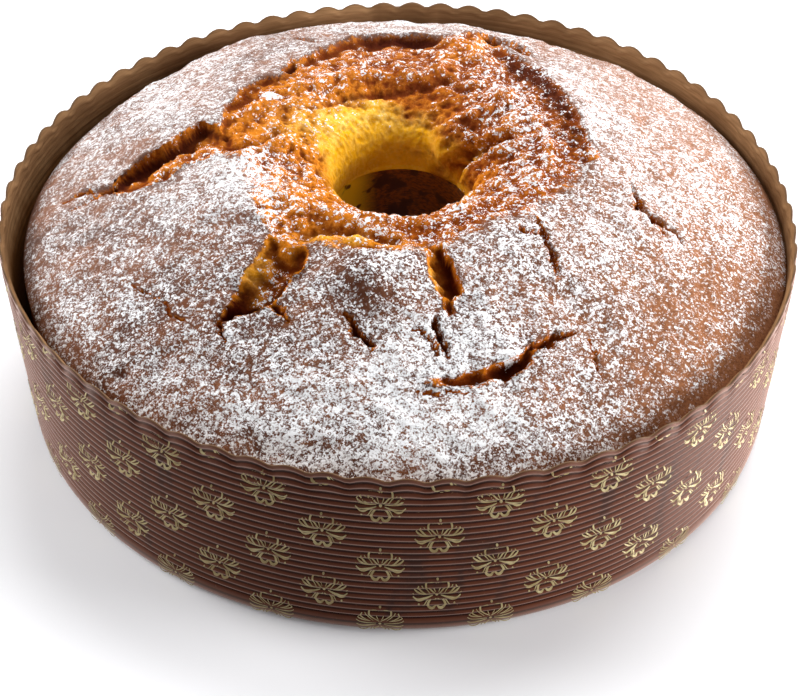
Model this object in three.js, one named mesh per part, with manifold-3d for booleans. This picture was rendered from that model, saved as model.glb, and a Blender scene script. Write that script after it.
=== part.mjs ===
// Ring cake dusted with sugar, standing in the pleated paper case it was baked in.
// Millimetres, +Z up, origin at the middle of the case's foot, front of the cake toward -Y.

import * as THREE from "three";
import Module from "manifold-3d";

const wasm = await Module();
wasm.setup();

// Driving dimensions
const RIM_RADIUS = 110; // outside of the wall at its scalloped edge
const FOOT_RADIUS = 107.5; // outside of the wall at the foot
const WALL_HEIGHT = 56.5; // mean height of the scalloped edge
const WALL_THICK = 1.2; // pleated paper, over the pleats
const OUT_OF_ROUND = 1.1; // soft three-lobed wander of the rim
const SCALLOPS = 73; // scallops round the rim
const SCALLOP_RISE = 0.65; // half the depth of a scallop
const PLEATS = 21; // level corrugations up the wall
const PLEAT_RISE = 0.35; // half the depth of a corrugation
const PLEAT_START = 6.8; // lowest corrugation, just above the foot crease
const PLEAT_END = 53.6; // highest corrugation, below the plain rim band
const FOOT_TAB = 7; // paper turned in under the cake at the foot
const BASE_THICK = 0.9; // paper disc of the case
const CORE_FOOT = 22.4; // outside of the paper tube at its foot
const CORE_TOP = 20.8; // outside of the paper tube at its upper edge
const CORE_HEIGHT = 55.5;
const CORE_THICK = 1;
const GAP = 0.35; // clearance between neighbouring pieces
const CREST_RADIUS = 40; // highest ring of the dome
const CREST_HEIGHT = 18; // crest above the rim
const SHOULDER_RADIUS = 100;
const SHOULDER_DROP = 1; // dome at the shoulder, below the rim
const DOME_POWER = 1.6; // how the dome falls from crest to shoulder
const LIP_RADIUS = 19; // throat of the hole in the cake
const LIP_HEIGHT = 4; // throat above the rim
const TEAR_MEAN = 54; // radius where the crust has torn away round the hole
const TEAR_BACK = 11.5; // the tear reaches further at the back than the front
const TEAR_OVAL = 3;
const TEAR_DEPTH = 2.2; // torn crumb lies this far below the crust
const SEGMENTS = 60; // sides of each round piece
const RIM_STEPS = 4; // points a scallop

// Cracks in the crust: a curve from, by way of and to points on plan, then width, depth and undercut
const CRACKS = {
  ledge: { from: [-97, 0], via: [-78, -15], to: [-48, 10], width: 8, depth: 5.5, lean: 3 },
  frontTear: { from: [-22, -34], via: [-33, -48], to: [-47, -66], width: 17, depth: 5, lean: 0 },
  front: { from: [6, -41], via: [12, -54], to: [12, -67], width: 7, depth: 7, lean: 0.5 },
  slit: { from: [5, -83], via: [25, -83], to: [46, -63], width: 4.6, depth: 5, lean: 2 },
  right: { from: [60, -11], via: [65, -20], to: [74, -26], width: 3.2, depth: 4, lean: 0.5 },
  thinRight: { from: [34, -28], via: [37, -40], to: [40, -52], width: 2.2, depth: 3.5, lean: 0 },
  thinFront: { from: [-15, -64], via: [-12, -72], to: [-3, -75], width: 2.4, depth: 3, lean: 0.5 },
  back: { from: [12, 62], via: [22, 67], to: [32, 76], width: 9, depth: 4, lean: 1.5 },
};

// Low swells of the crust on plan: middle, reach and height
const SWELLS = [
  { x: -66, y: 13, reach: 17, rise: 2.4 }, // slab lifted behind the ledge
  { x: 47, y: 28, reach: 14, rise: 1.6 }, // rough crest on the right
  { x: 50, y: -4, reach: 12, rise: 1.2 },
  { x: -8, y: -54, reach: 15, rise: 1.0 }, // front swell between the tear and the crack
  { x: 34, y: -52, reach: 18, rise: 0.8 },
  { x: -60, y: -42, reach: 20, rise: 0.8 },
];

const smooth = (from, to, value) => THREE.MathUtils.smoothstep(value, from, to);

// Outside of the wall, without its pleats, at an angle and height
function wallRadius(angle, z) {
  const up = THREE.MathUtils.clamp(z / WALL_HEIGHT, 0, 1);
  const lobes = OUT_OF_ROUND * Math.cos(3 * (angle - Math.PI / 3));
  return THREE.MathUtils.lerp(FOOT_RADIUS, RIM_RADIUS, up) + up * lobes;
}

function coreRadius(z) {
  return THREE.MathUtils.lerp(CORE_FOOT, CORE_TOP, z / CORE_HEIGHT);
}

// A ring of points: section gives [radius, height] at an angle
function ring(count, section) {
  const points = [];
  for (let i = 0; i < count; i++) {
    const angle = (2 * Math.PI * i) / count;
    const [r, z] = section(angle);
    points.push(new THREE.Vector3(r * Math.cos(angle), r * Math.sin(angle), z));
  }
  return points;
}

// Joins rings into one closed skin: up the outside, in over the top, down the inside and out below
function skin(rings) {
  const positions = [];
  const triangles = [];
  const starts = [];
  for (const points of rings) {
    starts.push(positions.length / 3);
    for (const p of points) {
      positions.push(p.x, p.y, p.z);
    }
  }
  for (let k = 0; k < rings.length; k++) {
    const next = (k + 1) % rings.length;
    const n = rings[k].length;
    const m = rings[next].length;
    let i = 0;
    let j = 0;
    while (i < n || j < m) {
      const a = starts[k] + (i % n);
      const b = starts[next] + (j % m);
      if (j >= m || (i < n && (i + 1) * m <= (j + 1) * n)) {
        triangles.push(a, starts[k] + ((i + 1) % n), b);
        i++;
      } else {
        triangles.push(a, starts[next] + ((j + 1) % m), b);
        j++;
      }
    }
  }
  return { positions, triangles };
}

function solid({ positions, triangles }) {
  const mesh = new wasm.Mesh({
    numProp: 3,
    vertProperties: new Float32Array(positions),
    triVerts: new Uint32Array(triangles),
  });
  return new wasm.Manifold(mesh);
}

function geometry({ positions, triangles }) {
  const shape = new THREE.BufferGeometry();
  shape.setAttribute("position", new THREE.Float32BufferAttribute(Array.from(positions), 3));
  shape.setIndex(Array.from(triangles));
  shape.computeVertexNormals();
  return shape;
}

function named(name, shape, colour, roughness) {
  const material = new THREE.MeshStandardMaterial({ color: colour, roughness, metalness: 0 });
  const mesh = new THREE.Mesh(shape, material);
  mesh.name = name;
  return mesh;
}

// Paper case: pleated wall with scalloped edge, disc below, tube through the hole
function caseWall() {
  const rings = [];
  const outside = (inset, z) => {
    rings.push(ring(SEGMENTS, (angle) => [wallRadius(angle, z) - inset, z]));
  };
  const edge = (inset) => {
    const steps = SCALLOPS * RIM_STEPS;
    rings.push(
      ring(steps, (angle) => {
        const z = WALL_HEIGHT + SCALLOP_RISE * Math.cos(SCALLOPS * angle);
        return [wallRadius(angle, WALL_HEIGHT) - inset, z];
      }),
    );
  };
  outside(4, 0);
  outside(1, 0.5);
  outside(0, 1.6);
  outside(-0.25, 3.5);
  outside(0, 5.2);
  outside(0.7, 6);
  const pitch = (PLEAT_END - PLEAT_START) / PLEATS;
  for (let k = 0; k < PLEATS; k++) {
    outside(-PLEAT_RISE, PLEAT_START + (k + 0.1) * pitch);
    outside(PLEAT_RISE, PLEAT_START + (k + 0.6) * pitch);
  }
  outside(0, PLEAT_END + 0.4);
  edge(0);
  edge(WALL_THICK);
  outside(WALL_THICK, PLEAT_END);
  outside(WALL_THICK, PLEAT_START);
  outside(WALL_THICK, 1.8);
  outside(WALL_THICK + 0.8, BASE_THICK);
  outside(FOOT_TAB, BASE_THICK);
  outside(FOOT_TAB, 0);
  return geometry(skin(rings));
}

function caseBase() {
  const outer = (angle) => wallRadius(angle, 0) - FOOT_TAB - GAP;
  const inner = CORE_FOOT + GAP;
  return geometry(
    skin([
      ring(SEGMENTS, (angle) => [outer(angle), 0]),
      ring(SEGMENTS, (angle) => [outer(angle), BASE_THICK]),
      ring(SEGMENTS, () => [inner, BASE_THICK]),
      ring(SEGMENTS, () => [inner, 0]),
    ]),
  );
}

function caseCore() {
  return geometry(
    skin([
      ring(SEGMENTS, () => [CORE_FOOT, 0]),
      ring(SEGMENTS, () => [CORE_TOP, CORE_HEIGHT]),
      ring(SEGMENTS, () => [CORE_TOP - CORE_THICK, CORE_HEIGHT]),
      ring(SEGMENTS, () => [CORE_FOOT - CORE_THICK, 0]),
    ]),
  );
}

// Height of the baked dome, before tears and swells
function domeHeight(r) {
  if (r < CREST_RADIUS) {
    const run = THREE.MathUtils.clamp((CREST_RADIUS - r) / (CREST_RADIUS - LIP_RADIUS), 0, 1);
    return WALL_HEIGHT + LIP_HEIGHT + (CREST_HEIGHT - LIP_HEIGHT) * Math.sqrt(1 - run * run);
  }
  const run = (r - CREST_RADIUS) / (SHOULDER_RADIUS - CREST_RADIUS);
  const fall = (CREST_HEIGHT + SHOULDER_DROP) * Math.pow(run, DOME_POWER);
  const roll = 3 * Math.pow(Math.max(0, r - SHOULDER_RADIUS + 2) / 9.5, 2);
  return WALL_HEIGHT + CREST_HEIGHT - fall - roll;
}

function crustHeight(x, y) {
  const r = Math.hypot(x, y);
  const angle = Math.atan2(y, x);
  const tear = TEAR_MEAN + TEAR_BACK * Math.sin(angle) - TEAR_OVAL * Math.cos(2 * angle);
  let z = domeHeight(r);
  z -= TEAR_DEPTH * smooth(-2, 4, tear - r) * smooth(LIP_RADIUS, CREST_RADIUS, r);
  for (const { x: cx, y: cy, reach, rise } of SWELLS) {
    const away = Math.hypot(x - cx, y - cy) / reach;
    z += rise * Math.exp(-away * away) * smooth(0, 8, SHOULDER_RADIUS + 2 - r);
  }
  return z;
}

// A wedge along a crack, pointed at both ends, with its bottom leaning under the far side
function crackCutter({ from, via, to, width, depth, lean }) {
  const curve = new THREE.QuadraticBezierCurve(
    new THREE.Vector2(...from),
    new THREE.Vector2(...via),
    new THREE.Vector2(...to),
  );
  const steps = 7;
  const above = 4;
  const positions = [];
  const triangles = [];
  for (let k = 1; k < steps; k++) {
    const middle = curve.getPoint(k / steps);
    const along = curve.getTangent(k / steps);
    const side = new THREE.Vector2(-along.y, along.x);
    const share = Math.sin((Math.PI * k) / steps);
    const wander = 0.85 + 0.15 * Math.cos(2.4 * k);
    const deep = depth * Math.sqrt(share);
    const half = (0.5 * width * share * wander * (deep + above)) / deep;
    const z = crustHeight(middle.x, middle.y);
    positions.push(middle.x + side.x * half, middle.y + side.y * half, z + above);
    positions.push(middle.x - side.x * half, middle.y - side.y * half, z + above);
    positions.push(middle.x + side.x * lean * share, middle.y + side.y * lean * share, z - deep);
  }
  const sections = steps - 1;
  for (let k = 0; k < sections - 1; k++) {
    const a = 3 * k;
    const b = a + 3;
    for (const [p, q] of [[0, 1], [1, 2], [2, 0]]) {
      triangles.push(a + p, a + q, b + q, a + p, b + q, b + p);
    }
  }
  const tips = [curve.getPoint(0), curve.getPoint(1)];
  const first = positions.length / 3;
  for (const tip of tips) {
    positions.push(tip.x, tip.y, crustHeight(tip.x, tip.y) + above);
  }
  const end = 3 * (sections - 1);
  for (const [p, q] of [[0, 1], [1, 2], [2, 0]]) {
    triangles.push(first, q, p);
    triangles.push(first + 1, end + p, end + q);
  }
  return { positions, triangles };
}

function ringCake() {
  const floor = BASE_THICK + GAP;
  const ledge = CORE_HEIGHT + GAP;
  const side = (angle, z) => wallRadius(angle, z) - WALL_THICK - GAP;
  const lobe = (angle, r) => (wallRadius(angle, WALL_HEIGHT) - RIM_RADIUS) * smooth(60, 106, r);
  const rings = [];
  const at = (section) => rings.push(ring(SEGMENTS, section));
  at((angle) => [side(angle, floor) - 1.6, floor]);
  at((angle) => [side(angle, 3.5), 3.5]);
  at((angle) => [side(angle, 45), 45]);
  const crust = [107, 105.5, 103.5, 100, 95, 90, 85, 80, 75, 70, 66, 62, 58, 54, 50, 46, 43, 40];
  for (const radius of crust) {
    at((angle) => {
      const r = radius + lobe(angle, radius);
      return [r, crustHeight(radius * Math.cos(angle), radius * Math.sin(angle))];
    });
  }
  const turns = 6;
  for (let k = turns - 1; k >= 0; k--) {
    const r = CREST_RADIUS - (CREST_RADIUS - LIP_RADIUS) * Math.cos((Math.PI / 2) * (k / turns));
    at((angle) => [r, crustHeight(r * Math.cos(angle), r * Math.sin(angle))]);
  }
  at(() => [LIP_RADIUS + 0.6, ledge]);
  at(() => [CORE_TOP + GAP, ledge]);
  at(() => [coreRadius(floor) + GAP, floor]);
  let cake = solid(skin(rings));
  for (const crack of Object.values(CRACKS)) {
    cake = cake.subtract(solid(crackCutter(crack)));
  }
  const cut = cake.getMesh();
  return geometry({ positions: cut.vertProperties, triangles: cut.triVerts });
}

const part = new THREE.Group();
part.name = "ring_cake_in_paper_case";
part.add(named("ring_cake", ringCake(), "#a5673a", 0.75));
part.add(named("case_wall", caseWall(), "#5a2f24", 0.55));
part.add(named("case_base", caseBase(), "#9a7850", 0.8));
part.add(named("case_core", caseCore(), "#8a6538", 0.8));

export default part;
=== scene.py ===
"""Looks of a sugar-dusted ring cake in its printed paper case, laid out as an add-on."""

import math
from collections import namedtuple

import bpy
import numpy as np
from bpy.props import FloatProperty, FloatVectorProperty, IntProperty, PointerProperty
from bpy.types import Operator, Panel, PropertyGroup
from mathutils import Matrix, Vector


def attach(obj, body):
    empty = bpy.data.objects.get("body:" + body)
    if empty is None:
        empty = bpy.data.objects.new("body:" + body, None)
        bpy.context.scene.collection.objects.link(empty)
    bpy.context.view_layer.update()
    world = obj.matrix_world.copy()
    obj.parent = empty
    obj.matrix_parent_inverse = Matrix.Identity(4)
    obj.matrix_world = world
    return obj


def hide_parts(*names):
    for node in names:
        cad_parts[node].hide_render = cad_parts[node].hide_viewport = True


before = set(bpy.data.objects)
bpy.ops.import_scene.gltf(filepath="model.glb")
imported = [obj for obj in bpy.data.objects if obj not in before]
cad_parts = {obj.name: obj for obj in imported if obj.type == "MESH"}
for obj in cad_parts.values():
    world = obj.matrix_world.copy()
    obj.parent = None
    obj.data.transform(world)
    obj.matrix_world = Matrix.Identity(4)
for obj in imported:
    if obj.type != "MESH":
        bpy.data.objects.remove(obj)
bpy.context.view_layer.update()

bl_info = {
    "name": "Ring cake",
    "version": (1, 0, 0),
    "blender": (4, 5, 0),
    "location": "3D View > Sidebar > Ring cake",
    "description": "Bakes a ring cake, dusts it with sugar and stands it in its paper case",
    "category": "Object",
}

MM = 0.001
# Space left between neighbouring pieces, in millimetres
GAP = 0.35
SEED = 7
MOST_TRIANGLES = 200_000
# Points round the cake's skin, and round the tube and disc
SKIN_COLUMNS = 560
PAPER_COLUMNS = 180

# Where things lie on the cake, seen on plan in millimetres, front toward -Y

# Edge of the crumb torn open round the hole, anticlockwise:
# x, y, drop below the crust, run of the drop, painted shade on the step below it
TEAR = (
    (51.3, -5.2, 1.2, 4, 0), (52.3, 1.2, 1.6, 4, 0.1), (50.9, 8.3, 2.2, 4, 0.2),
    (49.6, 17.5, 2.6, 4, 0.2), (47.7, 23.8, 3, 4, 0.2), (45.6, 31.1, 3.2, 4, 0.2),
    (43.8, 38.7, 3.4, 4, 0.2), (40.8, 47.4, 3.4, 4, 0.3), (37.3, 52.6, 3.2, 3.5, 0.3),
    (33, 57.2, 3, 3, 0.3), (29.5, 66, 3, 1.5, 0.3), (27.5, 72, 3, 1.5, 0.2),
    (24, 75, 2.5, 1.5, 0.1), (20, 75, 2.5, 1.5, 0.1), (16.5, 71, 2.5, 1.2, 0.2),
    (13.1, 68.2, 3.5, 1.2, 0.6), (8.6, 70.5, 4, 1.2, 0.9), (4.6, 71.2, 4.5, 1.2, 1),
    (-1.5, 71.5, 4.5, 1.2, 1), (-6.1, 70.9, 4.5, 1.2, 0.9), (-12.2, 70.2, 4.5, 1.2, 0.8),
    (-16.6, 67.1, 4.2, 1.2, 0.6), (-21, 63.4, 4, 1.2, 0.5), (-25.3, 58.2, 3.6, 1.2, 0.4),
    (-29.6, 54.6, 3, 1.2, 0.4), (-31.8, 50.7, 2.6, 1.2, 0.4), (-34.5, 46.5, 2.5, 1, 0.5),
    (-36.2, 40.8, 2.2, 1, 0.5), (-41.9, 38.9, 2, 1, 0.5), (-44, 36, 2, 1, 0.4),
    (-47.1, 31.6, 2, 1, 0.4), (-48.1, 26.8, 2, 1, 0.3), (-50.1, 22.5, 2, 1, 0.3),
    (-51, 17, 2, 1, 0.3), (-50.8, 12, 2.2, 1, 0.3), (-50, 5, 0.9, 3, 0), (-49.5, -4.5, 0.8, 4, 0),
    (-45.2, -9.1, 0.9, 5, 0), (-42.4, -17, 1.1, 5, 0), (-39.6, -23.6, 1.4, 4.5, 0),
    (-37.6, -28.7, 1.7, 4, 0), (-36.3, -32.7, 2.0, 3.4, 0), (-33.4, -37.8, 2.2, 2.8, 0),
    (-31.2, -40.2, 1.8, 2.4, 0), (-28.6, -41.6, 1.4, 2, 0), (-24.2, -42.6, 1.4, 2, 0),
    (-20.9, -41.3, 1.2, 2, 0), (-18.2, -43.3, 1.2, 2, 0), (-15.7, -44.4, 1.2, 2, 0),
    (-11.8, -46.3, 1.3, 2, 0), (-8, -47.4, 1.3, 2, 0), (-4.2, -47.4, 1.3, 2, 0),
    (-0.4, -46.3, 1.2, 2, 0), (2.2, -44.4, 1.2, 2, 0), (6, -45.4, 1.4, 2, 0),
    (8.3, -43.8, 1.4, 2, 0), (11.1, -42.2, 1.2, 2.5, 0), (14.9, -40.8, 1, 3, 0),
    (20.1, -38.2, 0.9, 3, 0), (25.4, -32.6, 0.8, 3, 0), (29.4, -31.5, 0.8, 3, 0),
    (33.3, -29.9, 0.7, 4, 0), (37.5, -24.9, 0.7, 4, 0), (41.8, -19.2, 0.7, 4, 0),
    (49, -10.3, 0.8, 4, 0),
)
# Pockets broken out of the crust: x, y, drop, run, painted shade inside, how far the crust hangs over
POCKETS = {
    "ledge": (
        (-81.6, -6, 2.2, 0.8, 1, 0.4), (-80, -3.2, 3.2, 0.8, 1, 0.5), (-78.1, 0, 4, 0.8, 1, 0.7),
        (-74.9, 1.8, 4.4, 0.8, 0.95, 0.8), (-71.5, 4, 4.8, 0.8, 0.9, 0.9),
        (-67.4, 5.6, 5, 0.8, 0.85, 0.9), (-62.7, 9.3, 5, 0.8, 0.8, 0.9),
        (-57.6, 14.2, 4.8, 0.8, 0.8, 0.9), (-54.8, 14.9, 4.6, 0.8, 0.8, 0.8),
        (-52.4, 13.6, 4, 1, 0.6, 0.6), (-48, 9, 2.6, 3, 0.45, 0), (-42, 5, 1, 4, 0.15, 0),
        (-43, 0.5, 0.3, 5, 0, 0), (-49.7, -3.2, 0.2, 5, 0, 0), (-53.9, -3.4, 0.2, 5, 0, 0),
        (-59.7, -2.6, 0.2, 5, 0, 0), (-61.6, -5.4, 0.3, 4, 0, 0), (-63.5, -7.6, 0.4, 3, 0.1, 0),
        (-67.7, -9.6, 0.7, 2.4, 0.25, 0), (-73.3, -10.2, 1.4, 1.6, 0.6, 0),
        (-76.6, -10.8, 2, 1, 0.8, 0), (-81.2, -8.4, 2, 0.8, 1, 0),
    ),
    "front_left": (
        (-33.4, -37.8, 2.5, 3, 0, 0), (-34.8, -40.5, 4.6, 3, 0, 0.2),
        (-37.1, -45.4, 5.6, 3.2, 0, 0.3), (-40.4, -49.4, 6, 3, 0.15, 0.3),
        (-41.3, -53, 6.4, 2.2, 0.75, 0.4), (-42.9, -57.6, 6.5, 1.2, 1, 0.4),
        (-45.4, -61.8, 5, 0.8, 1, 0.2), (-45.3, -63.3, 4, 0.8, 1, 0), (-40.8, -62, 6.5, 0.8, 1, 0),
        (-35.1, -61.2, 6.2, 0.8, 1, 0), (-31.2, -58.7, 6, 0.9, 1, 0),
        (-27.9, -54.8, 5.4, 1, 0.9, 0), (-25.1, -50, 4.6, 1, 0.7, 0), (-23.8, -44.7, 4, 1, 0.6, 0),
        (-24.2, -42.6, 3, 1.6, 0.5, 0), (-28.6, -41.6, 2.6, 3, 0.35, 0),
        (-31.2, -40.2, 2.4, 3, 0.15, 0),
    ),
    "front": (
        (5.6, -42.4, 3, 2, 0.3, 0), (7, -50.5, 6, 3, 0, 0), (8.2, -54.3, 6.5, 3, 0, 0),
        (9.6, -57.3, 6, 2.6, 0, 0), (10.8, -60.2, 5, 2, 0, 0), (11.6, -65, 3, 1, 0.3, 0),
        (14, -63.4, 4, 0.8, 0.5, 0), (13.6, -59.5, 5.6, 0.8, 0.6, 0),
        (15.9, -57.5, 5.6, 0.8, 0.8, 0.2), (15, -55.4, 6.4, 0.8, 0.8, 0.4),
        (14.2, -52.4, 6.4, 0.8, 0.8, 0.4), (13, -48.1, 5.6, 0.8, 0.9, 0.4),
        (10.6, -43, 3.4, 1.2, 0.8, 0.2),
    ),
    "slit": (
        (6.5, -82.4, 1, 0.6, 0.2, 0), (11.5, -80.9, 2.2, 0.6, 0.25, 0.2),
        (15.4, -79.6, 2.8, 0.6, 0.25, 0.3), (19.6, -78.5, 3.2, 0.6, 0.3, 0.4),
        (22.8, -77.2, 4, 0.6, 0.7, 0.5), (25.7, -75.6, 4.6, 0.6, 1, 0.8),
        (28.5, -73.6, 4.4, 0.8, 0.8, 0.6), (30.4, -71.4, 3, 0.8, 0.2, 0.2),
        (32.6, -69.8, 2, 0.8, 0.3, 0), (33.6, -71.4, 2.2, 0.8, 0.4, 0), (31.9, -75.2, 4, 0.7, 1, 0),
        (29.6, -78.2, 4.2, 0.7, 1, 0), (26.5, -80, 4, 0.7, 0.8, 0), (21, -81.6, 2.8, 0.7, 0.3, 0),
        (15, -82.8, 2.2, 0.6, 0.25, 0), (9.6, -83.4, 1.6, 0.6, 0.2, 0),
    ),
}
# A crack: path of (x, y, half width), depth, place of its deepest line from -1 right to 1 left,
# how far its left side hangs over and is lifted, and how dark the painted shade in its depth is
Crack = namedtuple("Crack", "path depth skew overhang lift dark", defaults=(0.0, 0.0, 0.0, 1.0))
CRACKS = {
    "ledge_tail": Crack(
        (
            (-97, -3, 0.2), (-93, -3.6, 0.7), (-89.4, -2.6, 1.0), (-86.3, -3.9, 0.8),
            (-81, -6.4, 1.4),
        ),
        depth=2.4, skew=0.3, overhang=0.4,
    ),
    "ledge_tail_low": Crack(((-83, -7.5, 0.8), (-88, -8.6, 0.7), (-93, -9.5, 0.3)), depth=1.6),
    "tear_tail": Crack(((-45.3, -62, 0.6), (-45.4, -66, 0.9), (-44, -69.5, 0.3)), depth=2.4),
    "slit_end": Crack(
        (
            (32, -71.4, 0.8), (34.4, -69.9, 1.2), (37.1, -68.2, 0.9), (42, -65.6, 0.7),
            (45.6, -65.2, 0.2),
        ),
        depth=2.4, skew=0.2, overhang=0.2, lift=0.2, dark=0.7,
    ),
    "slit_front": Crack(
        ((4, -84.6, 0.2), (8, -85.2, 0.6), (12, -85, 0.5), (18, -84.4, 0.2)),
        depth=1.0, dark=0.4,
    ),
    "slit_side": Crack(((46.6, -66, 0.3), (49, -70, 0.6), (49.6, -74, 0.2)), depth=1.2, dark=0.5),
    "right_crack": Crack(
        (
            (61.5, -9, 0.2), (62.6, -14, 0.9), (64, -18, 1.4), (65, -19.6, 0.5), (66, -21.6, 1.7),
            (68.6, -23, 1.2), (70.6, -24.6, 0.3),
        ),
        depth=3.2,
    ),
    "right_branch": Crack(((70.6, -23.8, 0.3), (72.6, -25.2, 0.8), (75, -26.6, 0.2)), depth=1.6),
    "right_low": Crack(
        ((68, -25, 0.3), (69.4, -26.6, 0.7), (70.6, -28.4, 0.2)),
        depth=1.4, dark=0.4,
    ),
    "thin_right": Crack(
        (
            (35, -30.5, 0.4), (35.8, -33.4, 0.8), (36.9, -37.6, 1.0), (38, -42.6, 1.1),
            (39.4, -46.7, 1.0), (39.6, -50.2, 0.2),
        ),
        depth=3.0, dark=0.3,
    ),
    "thin_right_arm": Crack(
        ((30.6, -32.8, 0.3), (32, -36.4, 1.1), (34.6, -36, 0.8)),
        depth=1.6, dark=0.3,
    ),
    "thin_front": Crack(
        (
            (-13.6, -64.4, 0.2), (-11.9, -68.4, 1.0), (-9.9, -70.3, 1.2), (-7.9, -72, 1.5),
            (-6.6, -74, 0.4),
        ),
        depth=3.2,
    ),
    "short_front": Crack(
        ((9, -65.6, 0.6), (7.9, -67, 0.9), (9.8, -70.3, 1.1), (11, -72.9, 1.0), (12, -76, 0.2)),
        depth=2.8,
    ),
    "short_arm": Crack(
        ((3.4, -68.4, 0.2), (6.1, -69.9, 0.6), (7.5, -72, 0.8), (8.6, -75, 0.2)),
        depth=1.6, dark=0.5,
    ),
    "tear_cleft": Crack(
        ((-46.4, -63.6, 0.6), (-43.6, -61.6, 1.6), (-40.4, -59.4, 1.7), (-37.6, -58.4, 0.6)),
        depth=3.2, dark=1.3,
    ),
    "beside_tear": Crack(((-33, -60, 0.8), (-30.2, -62.6, 1.1), (-28.6, -65.5, 0.2)), depth=2.6),
    "back_notch": Crack(
        ((24, 75, 1.0), (28, 72.5, 3.6), (33, 68.5, 4), (37, 63, 1.2)),
        depth=5.5, skew=0.55, lift=0.8, dark=0.9,
    ),
    "back_chip": Crack(((-37, 73, 0.4), (-32, 71, 1.7), (-27, 66, 0.5)), depth=2.6),
    "back_chip_low": Crack(((-35.4, 44, 0.6), (-33.4, 48, 1.2), (-33.6, 52, 0.3)), depth=2.0),
    "nook": Crack(((-32.2, -2, 0.3), (-32, 0.4, 0.9), (-30, 1.8, 0.5)), depth=1.3, dark=0.3),
    "nook_right": Crack(
        ((-27.8, 2.4, 0.3), (-26.6, 0.8, 0.8), (-26.4, -0.9, 0.3)),
        depth=1.1, dark=0.3,
    ),
    "left_scratch": Crack(((-70, -46, 0.2), (-66, -50, 0.7), (-63, -53, 0.2)), depth=1.0),
    "left_scratch_low": Crack(((-60, -55, 0.2), (-58, -59, 0.6), (-55, -61, 0.2)), depth=1.0),
}
# Folds of the torn crumb, and valleys between them: path, half width, rise
FOLDS = (
    (((-49, -5.3), (-44, -5), (-40, -3), (-36.4, 0.2), (-32.5, 3.2), (-29.2, 2.6)), 3.4, 1.8),
    (((-50, 6), (-45.8, 2), (-41.7, 2), (-38.6, 5), (-35.3, 9)), 3, -1.4),
    (
        (
            (-27, -25), (-21.6, -27), (-16.4, -29.5), (-10, -31), (-3, -31.5), (2, -31), (8, -30),
            (13, -27), (18, -22),
        ),
        3.6, 1.4,
    ),
    (
        (
            (-27, -36.6), (-21.6, -36.4), (-17, -35.8), (-13.4, -35.4), (-10.2, -36.6),
            (-5.6, -38.2), (-1.7, -40),
        ),
        2.4, -1.8,
    ),
    (((-21, -40.2), (-17, -40.3), (-12, -40.1), (-6.8, -41.6), (-1.7, -42.6), (2, -43)), 1.7, 0.4),
    (((-14.4, -43.6), (-10.6, -44), (-5.5, -44.3), (-2.9, -44.1)), 1.3, -0.9),
    (((13, 17.5), (17.4, 19.5), (21, 21.4), (25, 24.3), (29, 28)), 4.6, 2.4),
    (((16, 10), (20, 10), (22.8, 9.6), (25.5, 9.2), (29, 9.5)), 2.0, -2.6),
    (((19, 5), (23, 4.5), (27, 4.5), (31, 6)), 2.4, 0.9),
    (((-30, 32), (-19, 38), (-7, 41), (5, 41), (11, 43)), 3.2, 1.3),
    (
        ((-16, 29), (-8.3, 32), (-1.2, 34.4), (4.5, 36.4), (10.3, 38.5), (14.6, 36), (18.3, 33)),
        2.4, -1.2,
    ),
    (((14, 66), (17, 60), (20, 56), (24, 51)), 3.6, 1.6),
    (((-41, -20), (-33, -22), (-27, -20)), 3, 0.9),
    (((-36, -32), (-31, -31), (-26, -33)), 2.6, 0.9),
    (((34, 26), (38, 14), (40, 3), (39, -8)), 4, 0.9),
    (((-44, 20), (-39, 24), (-31, 24)), 3, 0.9),
)

# Radius inside which moist yellow crumb shows in the throat
YELLOW_EDGE = (
    (-180, 19.5), (-150, 18.5), (-110, 18), (-40, 17), (0, 16.5), (20, 17), (45, 18.5), (65, 20.5),
    (80, 23), (95, 26), (112, 29.5), (130, 30.5), (152, 26.5), (168, 21.5),
)
# Radius of the cake's shoulder, and how much higher or lower the crust lies near it
SHOULDER_EDGE = (
    (-180, 104), (-168, 104.4), (-155, 105.6), (-140, 106.8), (-60, 107.4), (-30, 108.2),
    (-10, 108.5), (10, 108.5), (30, 108.3), (50, 107.7), (80, 107), (120, 107), (135, 105.8),
    (150, 104.8), (165, 104.2),
)
SHOULDER_LIFT = (
    (-180, 0), (-20, 0), (0, -0.5), (30, -0.7), (48, -0.5), (58, -1.2), (68, -0.9), (80, 0.3),
    (95, 0.6), (108, 1.5), (120, 1.8), (132, 0.3), (150, -0.4),
)

# Low swells of the crust: x, y, reach, rise
SWELLS = (
    (2, 30, 11, -2.4), (-14, 27, 9, -1.2), (15, 24, 9, -1.4), (19, 64, 8, 2.2), (22, 72, 6, 1.8),
    (-64, 18, 15, 2.4), (-60, -8, 9, -0.9), (51, 27, 13, 1.6), (54, 0, 12, 0.8),
    (-8, -51, 9.5, 3.8), (-8, -70, 9, -1.2), (27, -42, 12, 2.2), (-47, -24, 12, 1.4),
    (-47, -10, 8, 1.2), (-42, -24, 7, 1.3), (-38, -34, 6, 1.2), (-66, -14, 8, 0.8),
    (24, -73, 8, 0.8), (-36, -67, 10, -0.7), (15, -70, 8, -0.6), (33, -62, 12, -0.6),
)
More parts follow.
